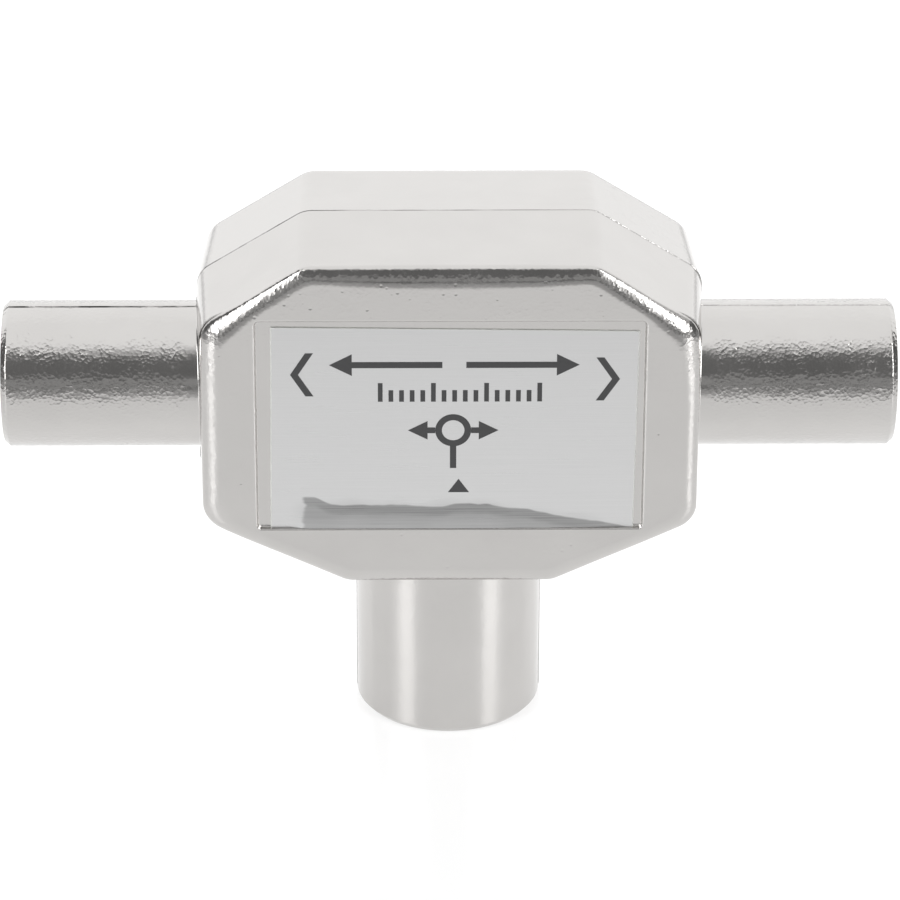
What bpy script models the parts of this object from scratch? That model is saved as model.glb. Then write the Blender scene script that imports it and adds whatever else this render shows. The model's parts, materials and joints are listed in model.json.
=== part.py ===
"""Two-way radio-frequency power splitter with a coaxial socket below and a coaxial plug on each side.

One nickel-plated zinc casting is the body and all three barrels. It stands on the input barrel's rim,
whose centre is the origin, with the label facing -Y and the outputs along X. Inside, a circuit board on
four cast posts joins the three centre contacts through two wound ferrite rings, behind a pressed-in
cover. Every length along a port is its reach: the distance from the point where the port axes cross.
"""

import math

import bmesh
import bpy
from mathutils import Matrix

MM = 0.001

# Casting, outside. The body is an eight-sided block with its parting plane on the port axes.
BODY_WIDTH = 32.4 * MM
BODY_HEIGHT = 23.0 * MM
BODY_DEPTH = 16.8 * MM
TOP_FLAT_WIDTH = 18.5 * MM
BOTTOM_FLAT_WIDTH = 13.3 * MM
UPPER_CORNER_RISE = 7.15 * MM
LOWER_CORNER_DROP = 7.0 * MM
CORNER_RADIUS = 1.8 * MM
FRONT_FILLET = 1.1 * MM
REAR_FILLET = 1.5 * MM
DRAFT = 0.47 * MM

# Casting, inside
WALL = 3.3 * MM
FRONT_WALL = 1.9 * MM
POCKET_CORNER_RADIUS = 1.0 * MM
COVER_LEDGE = 0.7 * MM
COVER_THICKNESS = 1.0 * MM
COVER_RECESS = 0.1 * MM
COVER_BEVEL = 0.2 * MM

# Label and the shallow recess it lies in
LABEL_WIDTH = 23.3 * MM
LABEL_HEIGHT = 14.0 * MM
LABEL_THICKNESS = 0.12 * MM
RECESS_DEPTH = 0.35 * MM
RECESS_RISE = 0.25 * MM
MARGIN_LEFT = 0.9 * MM
MARGIN_RIGHT = 0.3 * MM
MARGIN_TOP = 0.48 * MM
MARGIN_BOTTOM = 0.12 * MM

# Output plugs, one to each side
OUTPUT_SPAN = 57.2 * MM
PLUG_DIAMETER = 9.52 * MM
PLUG_BORE = 7.9 * MM
PLUG_BORE_DEPTH = 11.6 * MM
PLUG_LEAD_IN = 0.15 * MM
PIN_DIAMETER = 2.34 * MM
PIN_RECESS = 0.5 * MM
PIN_TIP_LENGTH = 0.9 * MM

# Input socket
INPUT_REACH = 23.5 * MM
SOCKET_DIAMETER = 12.15 * MM
SOCKET_BORE = 9.6 * MM
SOCKET_BORE_DEPTH = 11.2 * MM
SOCKET_LEAD_IN = 0.3 * MM
CONTACT_DIAMETER = 3.4 * MM
CONTACT_BORE = 2.4 * MM
CONTACT_BORE_DEPTH = 7.0 * MM
CONTACT_RECESS = 1.2 * MM
CONTACT_LEAD_IN = 0.2 * MM
SLOT_WIDTH = 0.5 * MM
SLOT_DEPTH = 5.0 * MM

# What the ports share
RIM_CHAMFER = 0.35 * MM
WALL_HOLE = 6.0 * MM
FLANGE_THICKNESS = 1.8 * MM
HUB_HEIGHT = 0.4 * MM
HUB_WIDTH = 0.75 * MM
SHANK_DIAMETER = 1.6 * MM
SHANK_STICKOUT = 0.4 * MM
RING_DIAMETER = 2.1 * MM
RING_LENGTH = 0.8 * MM
TAIL_DIAMETER = 1.0 * MM
TAIL_LAP = 2.8 * MM

# Circuit board on its posts
BOARD_THICKNESS = 1.0 * MM
BOARD_MARGIN = 1.2 * MM
POST_DIAMETER = 2.0 * MM
POST_INSET = 1.8 * MM
PIP_DIAMETER = 0.9 * MM
PIP_SHORTFALL = 0.1 * MM

# Wound rings: a ferrite ring's section is round, and the wire keeps clear of it
RING_RADIUS = 1.25 * MM
RING_SECTION = 1.1 * MM
WIRE_DIAMETER = 0.2 * MM
WINDING_SPACE = 0.03 * MM
WIRE_LEAD = 0.6 * MM
MATCHING_TURNS = 5
HYBRID_TURNS = 3
CORE_SPACING = 0.9 * MM

# Chip components and solder
CHIP_LENGTH = 2.0 * MM
CHIP_WIDTH = 1.25 * MM
CHIP_HEIGHT = 0.55 * MM
CHIP_CAP = 0.4 * MM
CHIP_CAP_STEP = 0.06 * MM
CHIP_SPACE = 0.4 * MM
SOLDER_COVER = 0.4 * MM
SOLDER_SIDE = 0.6 * MM
SOLDER_END = 0.6 * MM
GROUND_SOLDER_DIAMETER = 1.9 * MM
GROUND_SOLDER_HEIGHT = 0.7 * MM

# Clearances: one for pieces that are pressed or slid together, one for pieces that lie on each other
FIT_GAP = 0.05 * MM
SEAT_GAP = 0.05 * MM

# Facets
CORNER_STEPS = 4
FILLET_STEPS = 5
BARREL_SEGMENTS = 48
INSULATOR_SEGMENTS = 36
CONTACT_SEGMENTS = 24
SMALL_SEGMENTS = 16
SECTION_SEGMENTS = 10
POINTS_PER_TURN = 12
BEND_STEPS = 4
OVERRUN = 1.0 * MM
SHARP_ANGLE = math.radians(28)

# Worked out from the sizes above
HALF_DEPTH = BODY_DEPTH / 2
AXIS_HEIGHT = INPUT_REACH
OUTPUT_REACH = OUTPUT_SPAN / 2
POCKET_FLOOR = -HALF_DEPTH + FRONT_WALL
COVER_SEAT = HALF_DEPTH - COVER_RECESS - COVER_THICKNESS - SEAT_GAP
POCKET_REACH_X = BODY_WIDTH / 2 - WALL
POCKET_REACH_Z = BODY_HEIGHT / 2 - WALL
BOARD_REACH_X = POCKET_REACH_X - BOARD_MARGIN
BOARD_REACH_Z = POCKET_REACH_Z - BOARD_MARGIN
BOARD_BACK = -TAIL_DIAMETER / 2 - SEAT_GAP
BOARD_FRONT = BOARD_BACK - BOARD_THICKNESS
PLUG_SHOULDER = OUTPUT_REACH - PLUG_BORE_DEPTH
SOCKET_SHOULDER = INPUT_REACH - SOCKET_BORE_DEPTH
OUTPUT_TAIL_END = BOARD_REACH_X - TAIL_LAP
INPUT_TAIL_END = BOARD_REACH_Z - TAIL_LAP
WIND_RADIUS = RING_SECTION / 2 + WINDING_SPACE + WIRE_DIAMETER / 2
RING_HEIGHT = SEAT_GAP + WIRE_DIAMETER / 2 + WIND_RADIUS
WOUND_RADIUS = RING_RADIUS + WIND_RADIUS + WIRE_DIAMETER / 2
COMPONENT_FACE = BOARD_BACK + SEAT_GAP
POST_X = BOTTOM_FLAT_WIDTH / 2
POST_Z = BOARD_REACH_Z - POST_INSET
CHIP_Z = POST_Z - GROUND_SOLDER_DIAMETER / 2 - CHIP_SPACE - CHIP_WIDTH / 2
RESISTOR_Z = SOLDER_END - INPUT_TAIL_END + CHIP_SPACE + CHIP_WIDTH / 2
CORE_X = WOUND_RADIUS + CORE_SPACING / 2
CORE_Z = RESISTOR_Z + CHIP_WIDTH / 2 + CHIP_SPACE + WOUND_RADIUS

# Colours are linear red, green and blue
NICKEL = (0.64, 0.63, 0.61)
FOIL = (0.62, 0.63, 0.63)
WHITE_PLASTIC = (0.80, 0.79, 0.74)
BOARD_PAPER = (0.35, 0.19, 0.06)
FERRITE = (0.05, 0.05, 0.055)
ENAMEL_WIRE = (0.55, 0.20, 0.06)
CERAMIC = (0.42, 0.33, 0.22)
BLACK_GLASS = (0.03, 0.03, 0.03)
TIN = (0.68, 0.68, 0.70)

# Turns that point a piece's own +Z along its port, or out of the board's back
TO_RIGHT = (0, math.pi / 2, 0)
TO_LEFT = (0, -math.pi / 2, 0)
TO_INPUT = (math.pi, 0, 0)
TO_BACK = (-math.pi / 2, 0, 0)


def clear_scene():
    """Removes whatever the scene starts with."""
    for obj in list(bpy.data.objects):
        bpy.data.objects.remove(obj, do_unlink=True)


def material(name, colour, roughness, metallic):
    """A plain Principled material."""
    made = bpy.data.materials.new(name)
    made.use_nodes = True
    shader = made.node_tree.nodes["Principled BSDF"]
    shader.inputs["Base Color"].default_value = (*colour, 1)
    shader.inputs["Roughness"].default_value = roughness
    shader.inputs["Metallic"].default_value = metallic
    return made


def mesh_from(name, points, faces):
    """A mesh with outward faces, smooth except at its sharp edges."""
    mesh = bpy.data.meshes.new(name)
    mesh.from_pydata(points, [], faces)
    work = bmesh.new()
    work.from_mesh(mesh)
    bmesh.ops.recalc_face_normals(work, faces=work.faces)
    work.to_mesh(mesh)
    work.free()
    mesh.shade_smooth()
    mesh.set_sharp_from_angle(angle=SHARP_ANGLE)
    return mesh


def place(name, data, finish, centre, location=(0, 0, 0), rotation=(0, 0, 0)):
    """Puts a mesh or curve into the scene, measured from the crossing of the port axes."""
    if finish and not data.materials:
        data.materials.append(finish)
    obj = bpy.data.objects.new(name, data)
    bpy.context.scene.collection.objects.link(obj)
    obj.parent = centre
    obj.location = location
    obj.rotation_euler = rotation
    return obj


def helper(name, data, centre, location=(0, 0, 0), rotation=(0, 0, 0)):
    """A shape that only cuts or adds to another one."""
    obj = place(name, data, None, centre, location, rotation)
    obj.hide_render = True
    obj.display_type = "WIRE"
    return obj


def combine(obj, other, operation):
    """A Boolean of obj with a helper."""
    step = obj.modifiers.new(other.name, "BOOLEAN")
    step.operation = operation
    step.solver = "EXACT"
    step.object = other


def lofted(name, sections):
    """A closed skin through outlines of equal point counts, each at its own depth Y."""
    points = [(x, y, z) for y, outline in sections for x, z in outline]
    count = len(sections[0][1])
    faces = [tuple(range(count)), tuple(range(len(points) - count, len(points)))]
    for ring in range(len(sections) - 1):
        for i in range(count):
            j = (i + 1) % count
            low = ring * count
            faces.append((low + i, low + j, low + count + j, low + count + i))
    return mesh_from(name, points, faces)


def turned(name, profile, segments):
    """A body turned round Z from a closed outline of (radius, reach) points; radius 0 is on the axis."""
    points = []
    rings = []
    for radius, reach in profile:
        first = len(points)
        if radius == 0:
            points.append((0, 0, reach))
            rings.append([first] * segments)
            continue
        for i in range(segments):
            angle = 2 * math.pi * i / segments
            points.append((radius * math.cos(angle), radius * math.sin(angle), reach))
        rings.append(list(range(first, first + segments)))
    faces = []
    for low, high in zip(rings, rings[1:] + rings[:1]):
        if low[0] == low[1] and high[0] == high[1]:
            continue
        for i in range(segments):
            j = (i + 1) % segments
            corners = [low[i], low[j], high[j], high[i]]
            faces.append(tuple(dict.fromkeys(corners)))
    return mesh_from(name, points, faces)


def octagon(inset):
    """The body's eight corners in front view, with every side moved in by inset."""
    side = BODY_WIDTH / 2
    top = BODY_HEIGHT / 2
    right = [
        (TOP_FLAT_WIDTH / 2, top),
        (side, UPPER_CORNER_RISE),
        (side, -LOWER_CORNER_DROP),
        (BOTTOM_FLAT_WIDTH / 2, -top),
    ]
    corners = right + [(-x, z) for x, z in reversed(right)]
    lines = []
    for (x0, z0), (x1, z1) in zip(corners, corners[1:] + corners[:1]):
        length = math.hypot(x1 - x0, z1 - z0)
        across, up = (z0 - z1) / length, (x1 - x0) / length
        lines.append((across, up, across * x0 + up * z0 - inset))
    moved = []
    for (a, b, c), (d, e, f) in zip(lines[-1:] + lines[:-1], lines):
        scale = a * e - b * d
        moved.append(((c * e - b * f) / scale, (a * f - c * d) / scale))
    return moved


def rounded(corners, radius):
    """An outline with each corner replaced by an arc of CORNER_STEPS steps."""
    outline = []
    earlier = corners[-1:] + corners[:-1]
    later = corners[1:] + corners[:1]
    for before, corner, after in zip(earlier, corners, later):
        to_before = (before[0] - corner[0], before[1] - corner[1])
        to_after = (after[0] - corner[0], after[1] - corner[1])
        long_a, long_b = math.hypot(*to_before), math.hypot(*to_after)
        a = (to_before[0] / long_a, to_before[1] / long_a)
        b = (to_after[0] / long_b, to_after[1] / long_b)
        half = math.acos(a[0] * b[0] + a[1] * b[1]) / 2
        away = radius / math.sin(half)
        middle = math.hypot(a[0] + b[0], a[1] + b[1])
        x = corner[0] + (a[0] + b[0]) / middle * away
        z = corner[1] + (a[1] + b[1]) / middle * away
        back = radius / math.tan(half)
        start = math.atan2(corner[1] + a[1] * back - z, corner[0] + a[0] * back - x)
        sweep = math.pi - 2 * half
        for step in range(CORNER_STEPS + 1):
            angle = start - sweep * step / CORNER_STEPS
            outline.append((x + radius * math.cos(angle), z + radius * math.sin(angle)))
    return outline


def rectangle(width, height, x=0.0, z=0.0):
    """The four corners of a rectangle round (x, z)."""
    return [
        (x - width / 2, z - height / 2),
        (x + width / 2, z - height / 2),
        (x + width / 2, z + height / 2),
        (x - width / 2, z + height / 2),
    ]


def body_sections():
    """Outlines of the body from its front face to its back, with draft both ways from the parting plane."""
    sections = []
    for side, fillet in ((-1, FRONT_FILLET), (1, REAR_FILLET)):
        for step in range(FILLET_STEPS + 1):
            turn = math.pi / 2 * (FILLET_STEPS - step if side < 0 else step) / FILLET_STEPS
            depth = HALF_DEPTH - fillet * (1 - math.sin(turn))
            inset = fillet * (1 - math.cos(turn)) + DRAFT * depth / HALF_DEPTH
            sections.append((side * depth, rounded(octagon(inset), CORNER_RADIUS)))
        if side < 0:
            sections.append((0.0, rounded(octagon(0), CORNER_RADIUS)))
    return sections


def barrel_profile(diameter, reach, start):
    """Outline of a solid barrel with a chamfered rim."""
    radius = diameter / 2
    return [
        (0, reach),
        (radius - RIM_CHAMFER, reach),
        (radius, reach - RIM_CHAMFER),
        (radius, start),
        (0, start),
    ]


def bore_profile(bore, shoulder, reach, lead_in, start):
    """Outline of a barrel's bore: the hole through the wall, the shoulder, the bore and its lead-in."""
    radius = bore / 2
    hole = WALL_HOLE / 2
    mouth = radius + lead_in + OVERRUN
    return [
        (0, reach + OVERRUN),
        (mouth, reach + OVERRUN),
        (radius, reach - lead_in),
        (radius, shoulder),
        (hole, shoulder),
        (hole, start),
        (0, start),
    ]


def insulator_profile(bore, shoulder, inner, contact):
    """Outline of a stepped insulator: a boss in the wall's hole, a flange on the shoulder, and a hub."""
    hole = SHANK_DIAMETER / 2 + FIT_GAP
    groove = RING_DIAMETER / 2 + FIT_GAP
    outer = shoulder + SEAT_GAP + FLANGE_THICKNESS
    hub = contact / 2 + HUB_WIDTH
    middle = (inner + outer) / 2
    groove_half = RING_LENGTH / 2 + FIT_GAP
    return [
        (hole, outer + HUB_HEIGHT),
        (hub, outer + HUB_HEIGHT),
        (hub, outer),
        (bore / 2 - FIT_GAP, outer),
        (bore / 2 - FIT_GAP, shoulder + SEAT_GAP),
        (WALL_HOLE / 2 - FIT_GAP, shoulder + SEAT_GAP),
        (WALL_HOLE / 2 - FIT_GAP, inner),
        (hole, inner),
        (hole, middle - groove_half),
        (groove, middle - groove_half),
        (groove, middle + groove_half),
        (hole, middle + groove_half),
    ]


def shank_profile(shoulder, inner, tail_end):
    """The part of a contact inside its insulator, from the hub's face down to the end of the tail."""
    outer = shoulder + SEAT_GAP + FLANGE_THICKNESS
    middle = (inner + outer) / 2
    shank = SHANK_DIAMETER / 2
    tail = TAIL_DIAMETER / 2
    return [
        (shank, outer + HUB_HEIGHT + SEAT_GAP),
        (shank, middle + RING_LENGTH / 2),
        (RING_DIAMETER / 2, middle + RING_LENGTH / 2),
        (RING_DIAMETER / 2, middle - RING_LENGTH / 2),
        (shank, middle - RING_LENGTH / 2),
        (shank, inner - SHANK_STICKOUT),
        (tail, inner - SHANK_STICKOUT),
        (tail, tail_end),
        (0, tail_end),
    ]


def pin_profile():
    """Outline of an output's centre pin, with an elliptical tip."""
    radius = PIN_DIAMETER / 2
    tip = OUTPUT_REACH - PIN_RECESS
    face = PLUG_SHOULDER + 2 * SEAT_GAP + FLANGE_THICKNESS + HUB_HEIGHT
    profile = [(0, tip)]
    for step in range(1, FILLET_STEPS + 1):
        turn = math.pi / 2 * step / FILLET_STEPS
        profile.append((radius * math.sin(turn), tip - PIN_TIP_LENGTH * (1 - math.cos(turn))))
    profile.append((radius, face))
    return profile + shank_profile(PLUG_SHOULDER, POCKET_REACH_X, OUTPUT_TAIL_END)


def contact_profile():
    """Outline of the input's centre contact: a tube at its free end, then shank and tail."""
    radius = CONTACT_DIAMETER / 2
    bore = CONTACT_BORE / 2
    end = INPUT_REACH - CONTACT_RECESS
    face = SOCKET_SHOULDER + 2 * SEAT_GAP + FLANGE_THICKNESS + HUB_HEIGHT
    profile = [
        (0, end - CONTACT_BORE_DEPTH),
        (bore, end - CONTACT_BORE_DEPTH),
        (bore, end - CONTACT_LEAD_IN),
        (bore + CONTACT_LEAD_IN, end),
        (radius - CONTACT_LEAD_IN / 2, end),
        (radius, end - CONTACT_LEAD_IN / 2),
        (radius, face),
    ]
    return profile + shank_profile(SOCKET_SHOULDER, POCKET_REACH_Z, INPUT_TAIL_END)


def post_places():
    """The centres of the four posts in front view."""
    return [(-POST_X, POST_Z), (POST_X, POST_Z), (-POST_X, -POST_Z), (POST_X, -POST_Z)]


def make_housing(centre, nickel):
    """The casting: body and barrels joined, then pocket, cover seat, bores and label recess cut."""
    housing = place("housing", lofted("housing", body_sections()), nickel, centre)
    start_x = POCKET_REACH_X - OVERRUN
    start_z = POCKET_REACH_Z - OVERRUN
    plug = turned("plug_barrel", barrel_profile(PLUG_DIAMETER, OUTPUT_REACH, start_x), BARREL_SEGMENTS)
    socket = turned("socket_barrel", barrel_profile(SOCKET_DIAMETER, INPUT_REACH, start_z), BARREL_SEGMENTS)
    combine(housing, helper("plug_barrel_right", plug, centre, rotation=TO_RIGHT), "UNION")
    combine(housing, helper("plug_barrel_left", plug, centre, rotation=TO_LEFT), "UNION")
    combine(housing, helper("socket_barrel", socket, centre, rotation=TO_INPUT), "UNION")

    pocket = rounded(octagon(WALL), POCKET_CORNER_RADIUS)
    pocket = lofted("pocket", [(POCKET_FLOOR, pocket), (HALF_DEPTH + OVERRUN, pocket)])
    combine(housing, helper("pocket", pocket, centre), "DIFFERENCE")
    seat = rounded(octagon(WALL - COVER_LEDGE), POCKET_CORNER_RADIUS)
    seat = lofted("cover_seat", [(COVER_SEAT, seat), (HALF_DEPTH + OVERRUN, seat)])
    combine(housing, helper("cover_seat", seat, centre), "DIFFERENCE")

    plug_bore = bore_profile(PLUG_BORE, PLUG_SHOULDER, OUTPUT_REACH, PLUG_LEAD_IN, start_x)
    plug_bore = turned("plug_bore", plug_bore, BARREL_SEGMENTS)
    socket_bore = bore_profile(SOCKET_BORE, SOCKET_SHOULDER, INPUT_REACH, SOCKET_LEAD_IN, start_z)
    socket_bore = turned("socket_bore", socket_bore, BARREL_SEGMENTS)
    combine(housing, helper("plug_bore_right", plug_bore, centre, rotation=TO_RIGHT), "DIFFERENCE")
    combine(housing, helper("plug_bore_left", plug_bore, centre, rotation=TO_LEFT), "DIFFERENCE")
    combine(housing, helper("socket_bore", socket_bore, centre, rotation=TO_INPUT), "DIFFERENCE")

    post = POST_DIAMETER / 2
    pip = PIP_DIAMETER / 2
    profile = [
        (0, BOARD_BACK - PIP_SHORTFALL),
        (pip, BOARD_BACK - PIP_SHORTFALL),
        (pip, BOARD_FRONT - SEAT_GAP),
        (post, BOARD_FRONT - SEAT_GAP),
        (post, POCKET_FLOOR - FRONT_WALL / 2),
        (0, POCKET_FLOOR - FRONT_WALL / 2),
    ]
    post = turned("post", profile, SMALL_SEGMENTS)
    for number, (x, z) in enumerate(post_places(), 1):
        combine(housing, helper(f"post_{number}", post, centre, (x, 0, z), TO_BACK), "UNION")

    width = MARGIN_LEFT + LABEL_WIDTH + MARGIN_RIGHT
    height = MARGIN_TOP + LABEL_HEIGHT + MARGIN_BOTTOM
    outline = rectangle(width, height, z=RECESS_RISE)
    floor = -HALF_DEPTH + RECESS_DEPTH
    recess = lofted("label_recess", [(-HALF_DEPTH - OVERRUN, outline), (floor, outline)])
    combine(housing, helper("label_recess", recess, centre), "DIFFERENCE")


def make_cover(centre, nickel):
    """The plate that closes the casting, just below the back's rim."""
    inset = WALL - COVER_LEDGE + FIT_GAP
    full = rounded(octagon(inset), POCKET_CORNER_RADIUS)
    eased = rounded(octagon(inset + COVER_BEVEL), POCKET_CORNER_RADIUS)
    inner = COVER_SEAT + SEAT_GAP
    outer = inner + COVER_THICKNESS
    mesh = lofted("rear_cover", [(inner, full), (outer - COVER_BEVEL, full), (outer, eased)])
    place("rear_cover", mesh, nickel, centre)


def make_label(centre, foil):
    """The foil label on the recess's floor."""
    x = (MARGIN_LEFT - MARGIN_RIGHT) / 2
    z = RECESS_RISE + (MARGIN_BOTTOM - MARGIN_TOP) / 2
    back = -HALF_DEPTH + RECESS_DEPTH - SEAT_GAP
    outline = rectangle(LABEL_WIDTH, LABEL_HEIGHT, x, z)
    place("label", lofted("label", [(back - LABEL_THICKNESS, outline), (back, outline)]), foil, centre)


def make_ports(centre, nickel, plastic):
    """The insulators and centre contacts of all three ports."""
    pin = turned("out_pin", pin_profile(), CONTACT_SEGMENTS)
    disc = insulator_profile(PLUG_BORE, PLUG_SHOULDER, POCKET_REACH_X, PIN_DIAMETER)
    disc = turned("out_insulator", disc, INSULATOR_SEGMENTS)
    for side, rotation in (("left", TO_LEFT), ("right", TO_RIGHT)):
        place(f"out_pin_{side}", pin, nickel, centre, rotation=rotation)
        place(f"out_insulator_{side}", disc, plastic, centre, rotation=rotation)

    disc = insulator_profile(SOCKET_BORE, SOCKET_SHOULDER, POCKET_REACH_Z, CONTACT_DIAMETER)
    disc = turned("in_insulator", disc, INSULATOR_SEGMENTS)
    place("in_insulator", disc, plastic, centre, rotation=TO_INPUT)
    mesh = turned("in_contact", contact_profile(), CONTACT_SEGMENTS)
    contact = place("in_contact", mesh, nickel, centre, rotation=TO_INPUT)
    end = INPUT_REACH - CONTACT_RECESS
    length = SLOT_DEPTH + OVERRUN
    middle = -(end - SLOT_DEPTH + length / 2)
    across = CONTACT_DIAMETER + OVERRUN
    for number, (width, depth) in enumerate(((across, SLOT_WIDTH), (SLOT_WIDTH, across)), 1):
        outline = rectangle(width, length, z=middle)
        slot = lofted(f"slot_{number}", [(-depth / 2, outline), (depth / 2, outline)])
        combine(contact, helper(f"slot_{number}", slot, centre), "DIFFERENCE")


def make_board(centre, paper):
    """The circuit board, with a hole for each post's pip."""
    outline = octagon(WALL + BOARD_MARGIN)
    mesh = lofted("circuit_board", [(BOARD_FRONT, outline), (BOARD_BACK, outline)])
    board = place("circuit_board", mesh, paper, centre)
    radius = PIP_DIAMETER / 2 + FIT_GAP
    low = BOARD_FRONT - OVERRUN
    high = BOARD_BACK + OVERRUN
    hole = turned("pip_hole", [(0, high), (radius, high), (radius, low), (0, low)], SMALL_SEGMENTS)
    for number, (x, z) in enumerate(post_places(), 1):
        combine(board, helper(f"pip_hole_{number}", hole, centre, (x, 0, z), TO_BACK), "DIFFERENCE")


def winding(name, wire, centre, x, first, last, turns):
    """Wire wound round the ring at x between two angles. A lead rises to it, and the other leaves below it.

    A point of the helix lies at radius R + a cos t and height h + a sin t, where t runs through the turns
    while the angle round the ring goes evenly from start to end.
    """
    start, end = math.radians(first), math.radians(last)
    outermost = RING_RADIUS + WIND_RADIUS
    lowest = RING_HEIGHT - WIND_RADIUS
    bend = WIND_RADIUS / 2
    path = [(outermost + WIRE_LEAD, start, lowest)]
    for step in range(BEND_STEPS):
        turn = math.pi / 2 * step / BEND_STEPS
        path.append((outermost + bend - bend * math.sin(turn), start, lowest + bend - bend * math.cos(turn)))
    wound = 2 * math.pi * (turns - 1) + 1.5 * math.pi
    count = round(wound / (2 * math.pi) * POINTS_PER_TURN)
    for step in range(count + 1):
        t = wound * step / count
        angle = start + (end - start) * step / count
        path.append((RING_RADIUS + WIND_RADIUS * math.cos(t), angle, RING_HEIGHT + WIND_RADIUS * math.sin(t)))
    path.append((outermost + WIRE_LEAD, end, lowest))

    curve = bpy.data.curves.new(name, "CURVE")
    curve.dimensions = "3D"
    curve.bevel_depth = WIRE_DIAMETER / 2
    curve.bevel_resolution = 1
    curve.use_fill_caps = True
    spline = curve.splines.new("POLY")
    spline.points.add(len(path) - 1)
    for point, (radius, angle, height) in zip(spline.points, path):
        across, up = radius * math.cos(angle), radius * math.sin(angle)
        point.co = (x + across, BOARD_BACK + height, CORE_Z + up, 1)
    place(name, curve, wire, centre)


def make_transformers(centre, ferrite, wire):
    """The two ferrite rings side by side over the board, with their windings."""
    profile = []
    for step in range(SECTION_SEGMENTS):
        turn = 2 * math.pi * step / SECTION_SEGMENTS
        radius = RING_SECTION / 2
        profile.append((RING_RADIUS + radius * math.cos(turn), RING_HEIGHT - radius * math.sin(turn)))
    ring = turned("ring", profile, CONTACT_SEGMENTS)
    for name, side in (("matching_core", -1), ("hybrid_core", 1)):
        place(name, ring, ferrite, centre, (side * CORE_X, BOARD_BACK, CORE_Z), TO_BACK)
    winding("matching_winding", wire, centre, -CORE_X, 150, 390, MATCHING_TURNS)
    winding("hybrid_winding_left", wire, centre, CORE_X, 130, 230, HYBRID_TURNS)
    winding("hybrid_winding_right", wire, centre, CORE_X, -50, 50, HYBRID_TURNS)


def chip(name, finish, centre, x, z):
    """A chip component: a flat body with a slightly thicker metal cap on each end."""
    half = CHIP_LENGTH / 2
    neck = half - CHIP_CAP
    low, high = 0.0, CHIP_HEIGHT
    inner_low, inner_high = CHIP_CAP_STEP, CHIP_HEIGHT - CHIP_CAP_STEP
    bottom = [(-half, low), (-neck, low), (-neck, inner_low), (neck, inner_low), (neck, low), (half, low)]
    top = [(half, high), (neck, high), (neck, inner_high), (-neck, inner_high), (-neck, high), (-half, high)]
    outline = bottom + top
    mesh = lofted(name, [(-CHIP_WIDTH / 2, outline), (CHIP_WIDTH / 2, outline)])
    place(name, mesh, finish, centre, (x, COMPONENT_FACE, z), TO_BACK)


def make_chips(centre, ceramic, glass):
    """The resistor between the outputs and the four capacitors."""
    chip("isolation_resistor", glass, centre, 0, RESISTOR_Z)
    chip("input_capacitor", ceramic, centre, -POST_X, -CHIP_Z)
    chip("matching_capacitor", ceramic, centre, POST_X, -CHIP_Z)
    chip("output_capacitor_left", ceramic, centre, -POST_X, CHIP_Z)
    chip("output_capacitor_right", ceramic, centre, POST_X, CHIP_Z)


def dome_mesh(name, half_length, half_width, height):
    """A half ellipsoid that stands on its flat side."""
    profile = [(0, 1.0)]
    for step in range(1, FILLET_STEPS + 1):
        turn = math.pi / 2 * step / FILLET_STEPS
        profile.append((math.sin(turn), math.cos(turn)))
    profile[-1] = (1.0, 0.0)
    profile.append((0, 0.0))
    mesh = turned(name, profile, SMALL_SEGMENTS)
    mesh.transform(Matrix.Diagonal((half_length, half_width, height, 1)))
    return mesh


def make_solder(centre, tin):
    """A solder joint over each tail, and one on each post."""
    tail_space = TAIL_DIAMETER / 2 + FIT_GAP
    half_width = TAIL_DIAMETER / 2 + SOLDER_SIDE
    height = TAIL_DIAMETER + SOLDER_COVER
    half_length = (SOLDER_END + TAIL_LAP) / 2
    middle = (TAIL_LAP - SOLDER_END) / 2
    joints = (
        ("solder_joint_left", (-OUTPUT_TAIL_END - middle, 0), TO_LEFT, OUTPUT_TAIL_END, False),
        ("solder_joint_right", (OUTPUT_TAIL_END + middle, 0), TO_RIGHT, OUTPUT_TAIL_END, False),
        ("solder_joint_in", (0, -INPUT_TAIL_END - middle), TO_INPUT, INPUT_TAIL_END, True),
    )
    for name, (x, z), port, tail_end, upright in joints:
        mesh = dome_mesh(name, half_length, half_width, height)
        mesh.transform(Matrix.Rotation(math.pi / 2 if upright else 0, 4, "Z"))
        joint = place(name, mesh, tin, centre, (x, COMPONENT_FACE, z), TO_BACK)
        low = tail_end - FIT_GAP
        high = tail_end + TAIL_LAP + OVERRUN
        profile = [(0, high), (tail_space, high), (tail_space, low), (0, low)]
        groove = turned(f"{name}_groove", profile, CONTACT_SEGMENTS)
        combine(joint, helper(f"{name}_groove", groove, centre, rotation=port), "DIFFERENCE")
    radius = GROUND_SOLDER_DIAMETER / 2
    mesh = dome_mesh("ground_solder", radius, radius, GROUND_SOLDER_HEIGHT)
    for number, (x, z) in enumerate(post_places(), 1):
        place(f"ground_solder_{number}", mesh, tin, centre, (x, COMPONENT_FACE, z), TO_BACK)


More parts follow.
